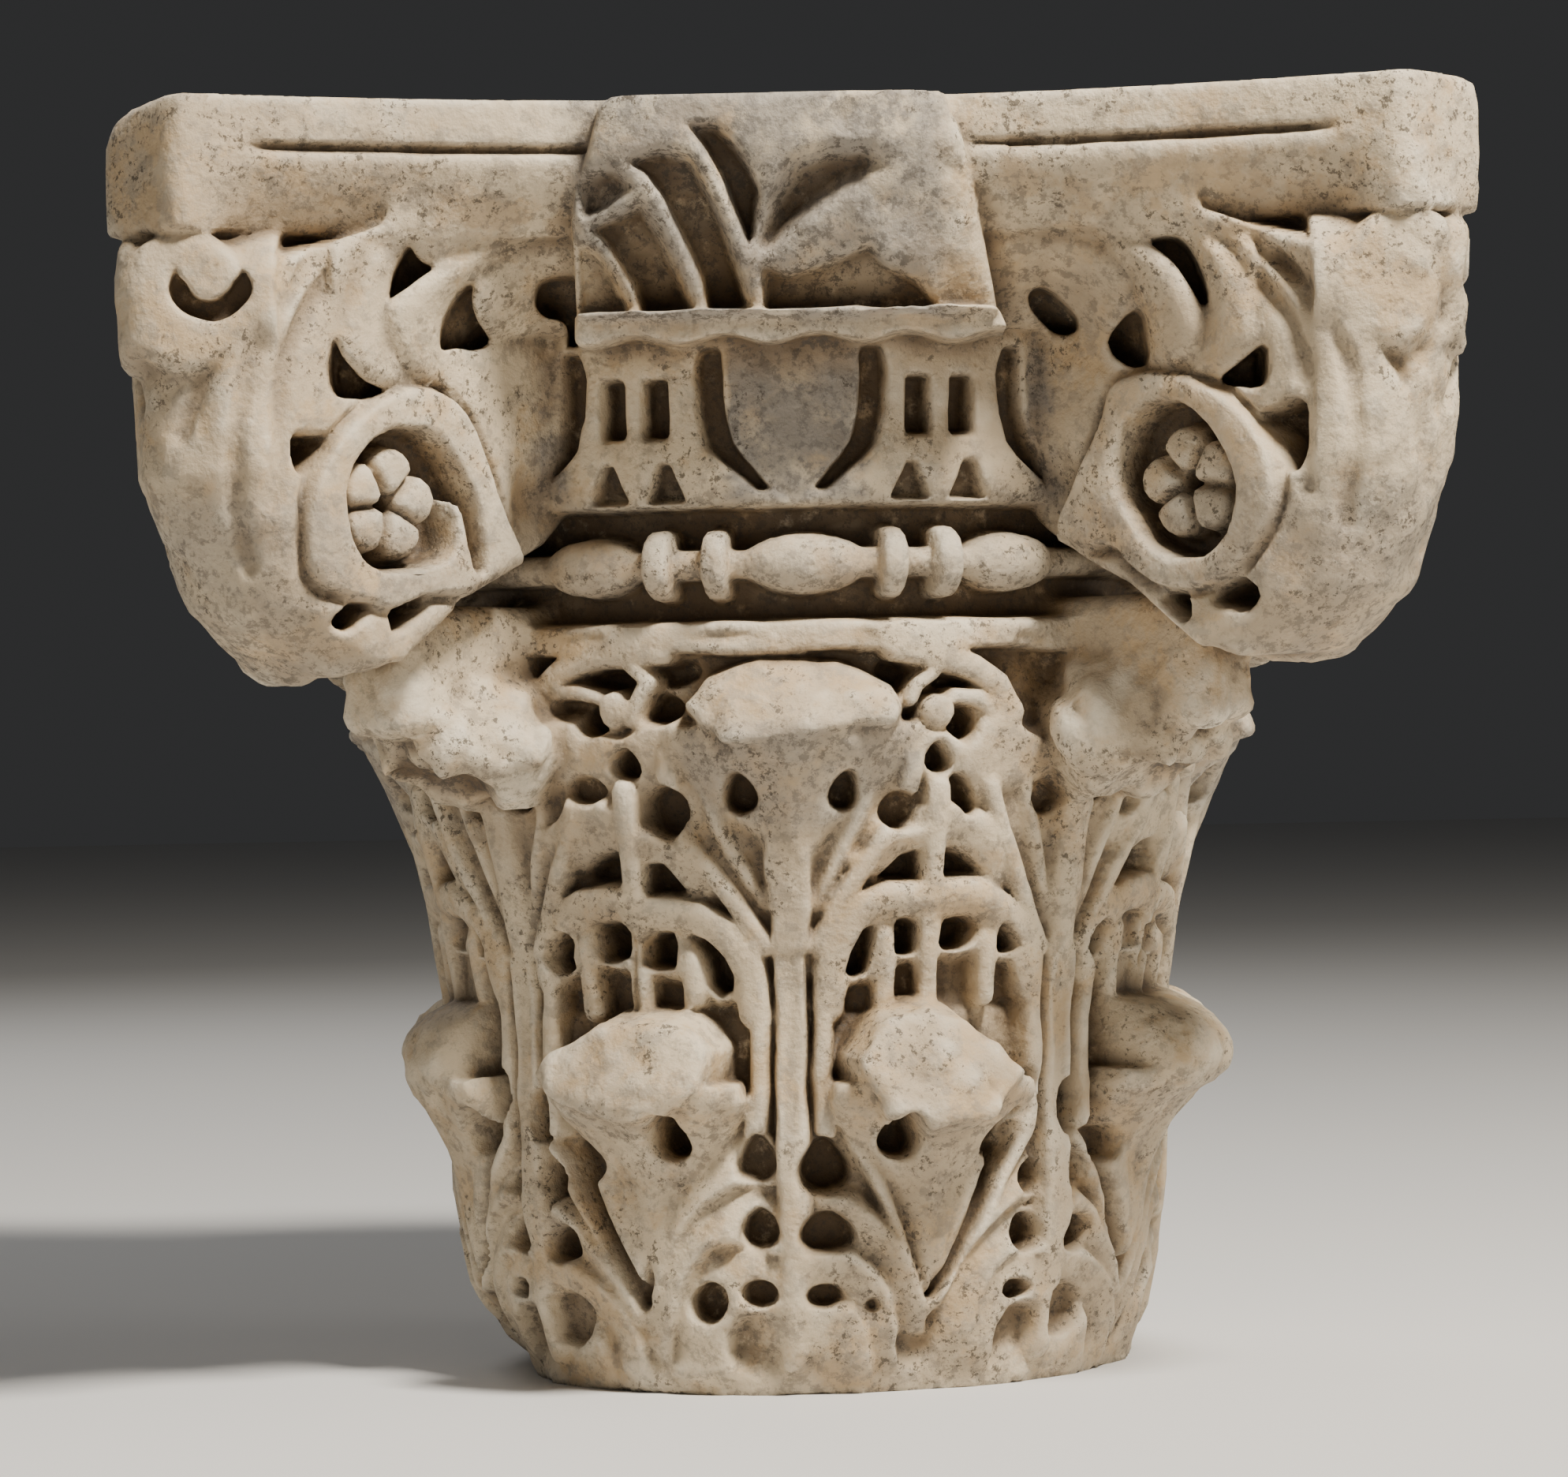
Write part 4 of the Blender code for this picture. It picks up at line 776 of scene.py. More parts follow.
def volute_map(side, parts):
    """Height map over the faces of the volutes on one side of the photograph."""
    columns = np.arange(105.0, 330.0, 0.5)
    rows = np.arange(236.0, 404.0, 0.5)
    across, up = np.meshgrid(columns, rows)
    ground = -1.2 + 0.9 * np.sin(across * 0.19 + 1.4 * np.sin(up * 0.07)) * smooth(across, 240, 262)
    low = (1.0 - smooth(across, 160, 172)) * (1.0 - smooth(up, 300, 320))
    relief = Relief(across, up, 1.0, ground - 6.0 * low)

    # Long flutes of the covering leaf
    for points in parts["flutes"]:
        relief.line(on_volute(side, points), 4.5, 2.6)
    relief.line(parts["middle_flute"], 4.5, 2.6)
    # Leaf edge below the ring
    relief.ridge(on_volute(side, parts["band"]), 6.5, 1.0, round_off=2.0)
    ring = rounded(on_volute(side, parts["ring"]))
    gap = relief.inside(ring)
    relief.h = relief.h - 3.0 * window(gap, 0.6, 2.4, 0.9) * smooth(up, 262.0, 268.0)
    relief.raise_area(ring, 2.2, soft=0.9)
    relief.pit(rounded(on_volute(side, parts["sunk"])), 15.0, soft=1.0)

    # Rosette of five petals
    eye_x, eye_z = on_volute(side, (parts["rosette"],))[0]
    for petal in range(5):
        turn = math.radians(100 + 72 * petal)
        middle = (eye_x + 11.2 * math.cos(turn), eye_z + 10.4 * math.sin(turn))
        relief.boss(middle[0], middle[1], 9.4, 8.8, -2.2, round_off=1.7)
    for petal in range(5):
        turn = math.radians(136 + 72 * petal)
        relief.line(((eye_x, eye_z), (eye_x + 18 * math.cos(turn), eye_z + 17 * math.sin(turn))), 1.7, 5.0)
    relief.hole(eye_x, eye_z, 3.4, 3.8, 16.0)
    for points in parts["pockets"]:
        relief.pit(rounded(on_volute(side, points), 1), 22.0)

    # Dark hollow between the leaf and the abacus
    gap = up - table(LEAF_TOP, across)
    deep = np.clip(6.0 + (across - 150.0) * 0.16, 6.0, 19.0)
    relief.h = relief.h + (-deep - relief.h) * smooth(gap, -0.5, 1.5)
    return columns / 1000.0, rows / 1000.0, relief.h / 1000.0


# Lobes and pockets of the covering leaf between volute and fleuron, as read in the enlarged parts
LEFT_LOBES = (
    (
        (880, 200), (860, 345), (855, 400), (870, 480), (920, 575), (855, 610), (790, 580), (740, 520),
        (715, 460), (740, 380), (790, 230), (830, 180),
    ),
    (
        (1160, 150), (1000, 238), (890, 320), (858, 370), (870, 480), (930, 560), (1000, 600), (1030, 580),
        (1012, 480), (1015, 400), (1050, 330), (1110, 270), (1250, 170),
    ),
    (
        (1250, 170), (1110, 270), (1100, 320), (1115, 380), (1150, 435), (1220, 450), (1320, 430),
        (1375, 440), (1400, 370), (1525, 372), (1525, 95), (1440, 114),
    ),
    (
        (640, 170), (760, 150), (830, 180), (790, 230), (740, 380), (715, 460), (695, 540), (700, 600),
        (740, 680), (700, 745), (640, 740), (610, 620), (600, 560), (620, 420),
    ),
)
LEFT_POCKETS = (
    (
        (862, 354), (875, 270), (905, 205), (945, 149), (934, 190), (964, 225), (1009, 238), (944, 285),
        (890, 329),
    ),
    (
        (1008, 486), (1013, 400), (1048, 328), (1117, 262), (1104, 320), (1119, 380), (1157, 439),
        (1110, 474), (1050, 466),
    ),
    (
        (1285, 330), (1300, 265), (1350, 245), (1440, 250), (1458, 440), (1375, 445), (1395, 420),
        (1382, 370), (1320, 364),
    ),
    ((700, 605), (693, 540), (713, 451), (740, 518), (790, 579), (861, 610), (800, 640), (720, 641)),
)
RIGHT_LOBES = (
    (
        (570, 100), (620, 160), (700, 220), (750, 350), (775, 470), (700, 540), (650, 580), (590, 560),
        (560, 545), (590, 480), (612, 400), (612, 370), (610, 300), (570, 190),
    ),
    (
        (330, 150), (430, 160), (500, 210), (560, 290), (605, 400), (580, 510), (520, 540), (470, 530),
        (455, 515), (430, 370), (385, 250), (300, 180),
    ),
    ((-92, 100), (250, 140), (330, 200), (390, 270), (395, 370), (335, 430), (250, 430), (-92, 440)),
    (
        (620, 120), (760, 180), (860, 300), (900, 440), (905, 560), (890, 640), (850, 620), (780, 640),
        (760, 610), (780, 590), (780, 470), (750, 350), (700, 220),
    ),
)
RIGHT_POCKETS = (
    ((426, 156), (522, 144), (572, 190), (613, 300), (612, 379), (558, 290), (498, 212)),
    ((331, 430), (397, 354), (434, 364), (461, 520), (400, 529), (346, 486)),
    ((89, 290), (140, 269), (246, 358), (251, 404), (200, 421), (104, 344)),
    ((784, 464), (784, 594), (745, 617), (641, 582), (700, 536)),
)


def abacus_face(across):
    """Distance of the hollowed abacus side from the middle plane, metres."""
    half = ABACUS_HALF - ABACUS_CUT
    arc = (half ** 2 + ABACUS_SAG ** 2) / (2 * ABACUS_SAG)
    return ABACUS_HALF - ABACUS_SAG + arc - np.sqrt(arc ** 2 - np.minimum(across, half) ** 2)


def cove_map(side, lobes, pockets):
    """Front of the leaf that sweeps from the egg ring up to the abacus, and the distance to its pockets."""
    x = np.arange(50.0, 172.0, 0.5)
    z = np.arange(330.0, 406.0, 0.5)
    across, up = np.meshgrid(x, z)
    relief = Relief(across, up, 1.0, -3.6 + 3.2 * smooth(up, 379, 388))
    for points in lobes:
        relief.pillow(rounded(on_cove(side, points)), 1.4, 4.2, 7.5)
    pocket = np.full(across.shape, 50.0)
    for points in pockets:
        pocket = np.minimum(pocket, relief.inside(rounded(on_cove(side, points), 1)))
    u = across / 1000.0
    ring = np.sqrt(np.clip(0.157 ** 2 - u ** 2, 0.0, None))
    low = np.maximum(ring, u + VOLUTE_HALF * math.sqrt(2.0))
    foot = 0.357 - 0.019 * smooth(u, 0.095, 0.125)
    share = np.clip((up / 1000.0 - foot) / (0.401 - foot), 0.0, 1.0)
    high = np.maximum(abacus_face(u) - 0.0046, low)
    front = low + (high - low) * share ** 0.8 + relief.h / 1000.0 - 0.04 * smooth(u, 0.147, 0.160)
    top = np.interp(u, (0.128, 0.132, 0.147, 0.157, 0.17), (0.405, 0.3906, 0.385, 0.378, 0.370))
    limit = np.maximum(foot - up / 1000.0, up / 1000.0 - top)
    return x / 1000.0, z / 1000.0, front, pocket / 1000.0, limit


# Fleuron of the front, broken on its right side

RIBS = (
    ((-71.5, 387.7), (-62.7, 383.8), (-57.8, 375.9), (-53.9, 366.1), (-50.9, 356.3)),
    ((-56.8, 409.2), (-49, 404.3), (-44.1, 397.5), (-38.2, 385.7), (-32.3, 372), (-29.4, 358)),
    ((-34.3, 415.1), (-29.4, 410.2), (-24.5, 399.4), (-18.6, 383.8), (-13.7, 372), (-10.8, 358)),
    ((-31.3, 423.9), (-22.5, 421.9), (-16.7, 416.1), (-11.8, 407.3), (-8.3, 399.4)),
)
# Hollows between the ribs on the left, each with its depth
RIB_HOLLOWS = (
    (((-66, 389), (-49, 397), (-42, 386), (-36, 372), (-32, 361), (-49, 359), (-53, 371), (-58, 379)), 15.0),
    (
        (
            (-55, 409), (-42, 413), (-32, 411), (-26, 400), (-20, 385),
            (-14, 362), (-28, 361), (-34, 379), (-44, 397),
        ),
        16.0,
    ),
    (((-34, 421), (-24, 421), (-16, 413), (-9, 401), (-12, 388), (-14, 380), (-18, 390), (-24, 404)), 15.0),
    (((-71, 386), (-63, 382), (-58, 374), (-54, 366), (-52, 357), (-72, 357)), 10.0),
    (((-70, 405), (-57, 408), (-51, 401), (-60, 394), (-68, 391)), 8.0),
)
MIDDLE_HOLLOW = (
    (-8, 399), (0, 410), (13, 415), (26, 413), (30, 406),
    (18, 397), (6, 389), (-6, 380), (-13, 378), (-13, 388),
)
FACET = (
    (-10, 376), (-2, 373), (8, 376), (17, 379), (25, 382),
    (30, 376), (40, 371), (47, 361), (40, 357), (-10, 357),
)


def rough(relief, size, seed):
    """Broken stone over a map, about -1 to 1."""
    points = np.stack((relief.x.ravel(), relief.z.ravel(), np.zeros(relief.x.size)), axis=1)
    made = lattice_noise(points, size, seed) + 0.5 * lattice_noise(points, size * 0.45, seed + 1)
    return made.reshape(relief.x.shape) / 1.2


def fleuron_map(front):
    x = np.arange(-80.0, 80.5, 0.5)
    z = np.arange(348.0, 436.0, 0.5)
    across, up = np.meshgrid(x, z)
    slant = -22.0 * (1.0 - np.clip((up - 357.0) / 58.0, 0.0, 1.0)) ** 1.3
    ground = slant - 5.0 * smooth(np.abs(across), 40.0, 76.0) - 6.0 * smooth(across, 30.0, 66.0)
    relief = Relief(across, up, 1.0, ground)
    if front:
        for points, depth in RIB_HOLLOWS:
            gap = relief.inside(points)
            mask = 1.0 - smooth(gap, -3.2, 0.8)
            relief.h = relief.h + (ground - depth - relief.h) * mask
        for points, (width, rise) in zip(RIBS, ((2.0, 0.0), (2.6, 1.0), (2.4, 1.5), (2.0, 0.5))):
            gap = relief.away(points)
            mask = 1.0 - smooth(gap, 0.4 * width, 1.5 * width)
            relief.h = relief.h + (ground + rise - 1.0 - relief.h) * mask
        # V shaped hollow in the middle, the broken ledge under it and the facet below
        gap = relief.inside(MIDDLE_HOLLOW)
        relief.h = relief.h + (ground - 13.0 - relief.h) * (1.0 - smooth(gap, -9.0, 1.5))
        gap = relief.inside(FACET)
        relief.h = relief.h + (slant - 10.0 - relief.h) * (1.0 - smooth(gap, -2.0, 0.6))
        relief.h = relief.h + 1.5 * rough(relief, 9.0, 21) * smooth(across, -8, 12)
        # Ledge at the foot
        ledge = (-19.0 + 0.8 * np.sin(across * 0.13)) * window(up, 340, 359.5, 1.2) - 60.0 * (up > 361)
        relief.h = np.maximum(relief.h, ledge)
    else:
        for petal in range(7):
            turn = math.radians(-150 + 60 * petal)
            middle = (17 * math.cos(turn), 394 + 15 * math.sin(turn))
            relief.boss(middle[0], middle[1], 15, 11, 0.5, lean=math.degrees(turn), round_off=3.0)
        relief.hole(0, 394, 4.5, 4.5, 10.0)
        relief.h = relief.h - 2.0 * (1.0 - smooth(np.hypot(across / 46.0, (up - 394) / 34.0), 0.9, 1.1))
    return x / 1000.0, z / 1000.0, relief.h / 1000.0


# Sides of the fleuron: heights, and distance from the middle, metres
FLEURON_LEFT = (
    (0.353, 0.380, 0.392, 0.403, 0.415, 0.427, 0.432),
    (-0.0715, -0.0715, -0.0720, -0.0700, -0.0655, -0.0620, -0.0560),
)
FLEURON_RIGHT = (
    (0.350, 0.362, 0.380, 0.395, 0.412, 0.427, 0.432),
    (0.0720, 0.0665, 0.0630, 0.0600, 0.0560, 0.0510, 0.0480),
)


# The field


def sample(grid, xs, zs, x, z):
    """Bilinear reading of a map at one height z for an array of x."""
    row = (z - zs[0]) / (zs[1] - zs[0])
    row = min(max(row, 0.0), len(zs) - 1.001)
    low = int(row)
    share = row - low
    values = grid[low] * (1.0 - share) + grid[low + 1] * share
    return np.interp(x, xs, values)


def box_field(x, y, z, low, high, rounding):
    parts = []
    for value, a, b in ((x, low[0], high[0]), (y, low[1], high[1]), (z, low[2], high[2])):
        parts.append(np.abs(value - (a + b) / 2) - (b - a) / 2 + rounding)
    inside = np.minimum(np.maximum(parts[0], np.maximum(parts[1], parts[2])), 0.0)
    outside = np.sqrt(sum(np.clip(part, 0.0, None) ** 2 for part in parts))
    return inside + outside - rounding


# Small forms on the corners and under the abacus, metres: low and high ends, or middle and half sizes
NECK = ((0.11, -0.017, 0.225), (0.202, 0.017, 0.268))
LIP = ((0.156, 0.2225), (0.033, 0.033, 0.0215))
LIP_UNDER = ((0.176, 0.1985), (0.022, 0.030, 0.0135))
CURL = (0.194, 0.3645)
CURL_RADIUS = 0.0225
CURL_FRONT = 0.2165
CURL_GROOVE = (0.1858, 0.3722)
CURL_GROOVE_RADIUS = 0.0108
# Corner chips: a point of each broken face, the way it faces, and how soft its edge is
CHIPS = (
    ((-0.2130, -0.2060, 0.4215), (-1.0, -0.5, 1.1), 0.004),
    ((-0.2215, -0.2000, 0.4050), (-1.0, -0.9, 0.1), 0.004),
    ((0.2125, -0.2060, 0.3700), (0.9, -0.8, -0.25), 0.004),
    ((0.2200, -0.1980, 0.4270), (0.8, -0.4, 1.0), 0.003),
)


def oval_field(form, r, w, z):
    """About zero on an oval body round a middle on the corner's diagonal."""
    (out, up), (long, wide, high) = form
    return np.sqrt(((r - out) / long) ** 2 + (w / wide) ** 2 + ((z - up) / high) ** 2) - 1.0


def add_volutes(d, z, corners, grid, left_face, right_face):
    """Volutes with the leaf that curls over under them."""
    for turn, rho, t in corners:
        near = (rho > 0.09) & (np.abs(t) < 0.075)
        r = rho[near]
        w = t[near]
        here = d[near]
        if z > 0.238:
            nose = table(NOSE, z * 1000.0) / 1000.0
            past = np.clip(r - nose, 0.0, None)
            spread = np.arctan2(past, np.abs(w)) * VOLUTE_HALF
            along = np.where(r > nose, nose + spread, r)
            left_h = sample(left_face, *grid, along, z)
            right_h = sample(right_face, *grid, along, z)
            h = right_h + (left_h - right_h) * smooth(w, -0.006, 0.006)
            body = np.hypot(past, w) - (VOLUTE_HALF + h)
            under = table(UNDERSIDE, r * 1000.0) / 1000.0 + 0.004 * (w / VOLUTE_HALF) ** 2 - z
            body = cut(body, under * 0.8, 0.006)
            body = cut(body, 0.10 - r, 0.002)
            here = meet(here, body, 0.0015)
        here = meet(here, box_field(r, w, z, *NECK, 0.007), 0.006)
        ruts = 0.0016 * np.sin(w * 420.0 + turn) * np.sin(r * 260.0 + z * 180.0)
        lip = oval_field(LIP, r, w, z) * 0.022 + ruts + 0.0022 * np.cos(w / 0.033 * 7.0)
        lip = cut(lip, -oval_field(LIP_UNDER, r, w, z) * 0.0135, 0.002)
        d[near] = meet(here, lip, 0.005)


def add_coves(d, z, faces, coves):
    """Covering leaf between volutes and fleurons, with its drilled pockets."""
    for turn, u, out in faces:
        for side, (xs, zs, front, pocket, limit) in zip((-1, 1), coves):
            near = (out > np.maximum(0.10, side * u)) & (side * u > 0.052) & (side * u < 0.170)
            v = side * u[near]
            depth = out[near] - sample(front, xs, zs, v, z)
            body = np.maximum(depth * 0.8, sample(limit, xs, zs, v, z))
            here = meet(d[near], body, 0.0012)
            drill = np.maximum(sample(pocket, xs, zs, v, z), -0.019 - depth)
            d[near] = cut(here, -drill, 0.0012)


def abacus_plan(x, y):
    """Hollow-sided plan with cut corners."""
    half = ABACUS_HALF - ABACUS_CUT
    arc = (half ** 2 + ABACUS_SAG ** 2) / (2 * ABACUS_SAG)
    long = np.maximum(np.abs(x), np.abs(y))
    short = np.minimum(np.abs(x), np.abs(y))
    hollow = arc - np.hypot(short, ABACUS_HALF - ABACUS_SAG + arc - long)
    across_corner = (np.abs(x) + np.abs(y)) / math.sqrt(2) - (ABACUS_HALF + half) / math.sqrt(2)
    return cut(hollow, across_corner, 0.006), short


def add_abacus(d, z, plan, short):
    inset = 0.013 * (1.0 - smooth(z, ABACUS_BOTTOM - 0.004, GROOVE_BOTTOM))
    groove = window(z, GROOVE_BOTTOM + 0.0012, GROOVE_TOP - 0.0012, 0.0008)
    ends = window(short, 0.066, 0.165, 0.012)
    slab = plan + inset * (1.0 - smooth(short, 0.165, 0.195)) + 0.0042 * groove * ends
    slab = cut(slab, abs(z - (ABACUS_BOTTOM + HEIGHT) / 2) - (HEIGHT - ABACUS_BOTTOM) / 2, 0.002)
    return meet(d, slab, 0.002)


def add_fleurons(d, z, faces, grid, flower, plain):
    """The photographed fleuron in front and a plain one on each other side."""
    for turn, u, out in faces:
        near = (out > 0.10) & (np.abs(u) < 0.09)
        v = u[near]
        block = out[near] - (FLEURON_FRONT + sample(flower if turn == 0 else plain, *grid, v, z))
        block = cut(block, (table(FLEURON_LEFT, z) - v) * 0.95, 0.005)
        block = cut(block, (v - table(FLEURON_RIGHT, z)) * 0.95, 0.005)
        block = np.maximum(block, 0.353 + 0.0015 * np.sin(v * 210.0) - z)
        block = np.maximum(block, z - HEIGHT)
        d[near] = meet(d[near], block, 0.0012)


def add_curls(d, z, faces):
    """Small curls under the abacus corners; the front right one is a rough stump without its groove."""
    for turn, u, out in faces:
        for side in (-1, 1):
            near = (out > 0.15) & (side * u > 0.15)
            p = side * u[near]
            disc = np.hypot(p - CURL[0], (z - CURL[1]) * 0.98) - CURL_RADIUS
            disc = cut(disc, out[near] - CURL_FRONT, 0.006)
            disc = np.maximum(disc, 0.165 - out[near])
            d[near] = meet(d[near], disc, 0.002)
    for turn, u, out in faces:
        for side in (-1, 1):
            if turn == 0 and side == 1:
                continue
            near = (out > 0.19) & (side * u > 0.15) & (side * u < 0.21)
            p = side * u[near]
            ring = np.hypot(p - CURL_GROOVE[0], z - CURL_GROOVE[1])
            below = smooth((0.3735 - z) / np.maximum(ring, 0.001), -0.2, 0.5)
            rut = np.maximum(np.abs(ring - CURL_GROOVE_RADIUS) - 0.0032 * below, 0.2070 - out[near])
            d[near] = cut(d[near], -rut, 0.0015)


def chip_corners(field, x, y, heights):
    count = len(x)
    for point, facing, soft in CHIPS:
        n = Vector(facing).normalized()
        near_x = slice(0, count // 3) if point[0] < 0 else slice(2 * count // 3, count)
        near_y = slice(0, count // 3)
        px = x[near_x, near_y, None]
        py = y[near_x, near_y, None]
        bumps = 0.0011 * np.sin(px * 310 + py * 170) * np.sin(heights * 260 + py * 120)
        plane = (px - point[0]) * n.x + (py - point[1]) * n.y + (heights - point[2]) * n.z + bumps
        field[near_x, near_y, :] = cut(field[near_x, near_y, :], plane, soft).astype(np.float32)


def capital_field():
    count = int(round(2 * REACH / STEP)) + 1
    axis = -REACH + STEP * np.arange(count)
    x, y = np.meshgrid(axis, axis, indexing="ij")
    heights = np.arange(LOW, TALL, STEP)
    radius = np.hypot(x, y)
    theta = np.degrees(np.arctan2(x, -y))
    theta = np.where(theta < -48.0, theta + 360.0, theta)

    map_theta, map_z, core, lean = core_map()
    # One column on each side so that the reading runs round
    map_theta = np.concatenate(([map_theta[0] - MAP_THETA], map_theta, [map_theta[-1] + MAP_THETA]))
    core = np.concatenate((core[:, -1:], core, core[:, :1]), axis=1)
    lean = np.concatenate((lean[:, -1:], lean, lean[:, :1]), axis=1)
    *volute_grid, left_face = volute_map(-1, LEFT_VOLUTE)
    right_face = volute_map(1, RIGHT_VOLUTE)[2]
    coves = (cove_map(-1, LEFT_LOBES, LEFT_POCKETS), cove_map(1, RIGHT_LOBES, RIGHT_POCKETS))
    *fleuron_grid, flower = fleuron_map(True)
    plain = fleuron_map(False)[2]
    plan, short = abacus_plan(x, y)

    # Distances out and across, for the four corners and the four sides
    corners = []
    faces = []
    for turn in range(4):
        corner = 45.0 + 90.0 * turn
        a = math.radians(corner)
        corners.append((corner, x * math.sin(a) - y * math.cos(a), x * math.cos(a) + y * math.sin(a)))
        a = math.radians(90.0 * turn)
        faces.append((turn, x * math.cos(a) + y * math.sin(a), x * math.sin(a) - y * math.cos(a)))

    field = np.empty((count, count, len(heights)), dtype=np.float32)
    for layer, z in enumerate(heights):
        d = np.full(x.shape, CLIP)
        if z < ABACUS_BOTTOM + 0.016:
            reach = sample(core, map_theta, map_z, theta, z)
            d = (radius - reach) * sample(lean, map_theta, map_z, theta, z)
        if 0.19 < z < ABACUS_BOTTOM + 0.016:
            add_volutes(d, z, corners, volute_grid, left_face, right_face)
        if 0.331 < z < 0.405:
            add_coves(d, z, faces, coves)
        if z > ABACUS_BOTTOM - 0.006:
            d = add_abacus(d, z, plan, short)
        if z > 0.345:
            add_fleurons(d, z, faces, fleuron_grid, flower, plain)
        if 0.335 < z < 0.392:
            add_curls(d, z, faces)
        field[:, :, layer] = np.clip(d, -CLIP, CLIP)

    heights = heights[None, None, :]
    chip_corners(field, x, y, heights)
    # Level bed and underside
    field = np.maximum(field, (heights - HEIGHT).astype(np.float32))
    field = np.maximum(field, -heights.astype(np.float32))
    return field, axis[0], heights[0, 0, 0]


def soften(field):
    """Wear the sharp edges a little."""
    for direction in range(3):
        first = [slice(None)] * 3
        last = [slice(None)] * 3
        middle = [slice(None)] * 3
        first[direction] = slice(0, -2)
        last[direction] = slice(2, None)
        middle[direction] = slice(1, -1)
        made = field.copy()
        made[tuple(middle)] = 0.8 * field[tuple(middle)] + 0.1 * (field[tuple(first)] + field[tuple(last)])
        field = made
    return field


def lattice_noise(points, size, seed):
    """Smooth noise from a seeded lattice, about -1 to 1."""
    rng = np.random.default_rng(seed)
    grid = rng.uniform(-1.0, 1.0, (64, 64, 64)).astype(np.float32)
    at = points / size + 200.0
    cell = np.floor(at).astype(int)
    part = at - cell
    part = part * part * (3.0 - 2.0 * part)
    total = np.zeros(len(points))
    for i in (0, 1):
        for j in (0, 1):
            for k in (0, 1):
                weight = (part[:, 0] if i else 1 - part[:, 0])
                weight = weight * (part[:, 1] if j else 1 - part[:, 1])
                weight = weight * (part[:, 2] if k else 1 - part[:, 2])
                total += weight * grid[(cell[:, 0] + i) % 64, (cell[:, 1] + j) % 64, (cell[:, 2] + k) % 64]
    return total


def normals_of(field, points, low_x, low_z):
    """Outward direction at points, from the field."""
    origin = np.array([low_x, low_x, low_z])
    out = np.zeros(points.shape)
    for direction in range(3):
        shift = np.zeros(3)
        shift[direction] = STEP
        ahead = read(field, points + shift, origin, STEP)
        out[:, direction] = ahead - read(field, points - shift, origin, STEP)
    length = np.maximum(np.linalg.norm(out, axis=1, keepdims=True), 1e-9)
    return out / length


def read(grid, points, origin, step):
    """Trilinear reading of a grid."""
    at = (points - origin) / step
    top = np.array(grid.shape) - 1.001
    at = np.clip(at, 0.0, top)
    cell = at.astype(int)
    part = at - cell
    total = np.zeros(len(points))
    for i in (0, 1):
        for j in (0, 1):
            for k in (0, 1):
                weight = (part[:, 0] if i else 1 - part[:, 0])
                weight = weight * (part[:, 1] if j else 1 - part[:, 1])
                weight = weight * (part[:, 2] if k else 1 - part[:, 2])
                total += weight * grid[cell[:, 0] + i, cell[:, 1] + j, cell[:, 2] + k]
    return total


def box_blur(grid, radius):
    for direction in range(3):
        summed = np.cumsum(np.moveaxis(grid, direction, 0), axis=0, dtype=np.float64)
        before = np.zeros((radius + 1,) + summed.shape[1:])
        pad = np.concatenate((before, summed, np.repeat(summed[-1:], radius, 0)))
        made = (pad[2 * radius + 1:] - pad[:-(2 * radius + 1)]) / (2 * radius + 1)
        grid = np.moveaxis(made, 0, direction)
    return grid.astype(np.float32)


def mesh_from_field(field, low_x, low_z):
    grid = vdb.FloatGrid(CLIP)
    grid.copyFromArray(field)
    points, quads = grid.convertToQuads()
    points = np.asarray(points, dtype=np.float64) * STEP + np.array([low_x, low_x, low_z])
    quads = np.asarray(quads)
    return points, quads


def make_object(name, points, quads):
    mesh = bpy.data.meshes.new(name)
    mesh.vertices.add(len(points))
    mesh.vertices.foreach_set("co", points.astype(np.float32).ravel())
    mesh.loops.add(quads.size)
    mesh.loops.foreach_set("vertex_index", quads.astype(np.int32).ravel())
    mesh.polygons.add(len(quads))
    mesh.polygons.foreach_set("loop_start", np.arange(0, quads.size, 4, dtype=np.int32))
    mesh.update(calc_edges=True)
    mesh.validate()
    item = bpy.data.objects.new(name, mesh)
    bpy.context.scene.collection.objects.link(item)
    return item


def triangle_count(mesh):
    sides = np.empty(len(mesh.polygons), dtype=np.int32)
    mesh.polygons.foreach_get("loop_total", sides)
    return int((sides - 2).sum())


def thin(item, target, chosen):
    """Take triangles away where chosen is true until the whole mesh has about the target."""
    group = item.vertex_groups.new(name="thin")
    group.add([int(i) for i in np.flatnonzero(chosen)], 1.0, "REPLACE")
    modifier = item.modifiers.new("thin", "DECIMATE")
    modifier.vertex_group = group.name
    modifier.ratio = target / triangle_count(item.data)
    bpy.context.view_layer.update()
    graph = bpy.context.evaluated_depsgraph_get()
    mesh = bpy.data.meshes.new_from_object(item.evaluated_get(graph))
    item.modifiers.clear()
    old = item.data
    item.data = mesh
    item.vertex_groups.clear()
    bpy.data.meshes.remove(old)


def vertex_points(item):
    mesh = item.data
    flat = np.empty(len(mesh.vertices) * 3)
    mesh.vertices.foreach_get("co", flat)
    return flat.reshape(-1, 3)


def faces_front(points):
    """True where the photographed side sees the surface."""
    x, y = points[:, 0], points[:, 1]
    return (y < 0.012) & (np.abs(x) < 0.26)


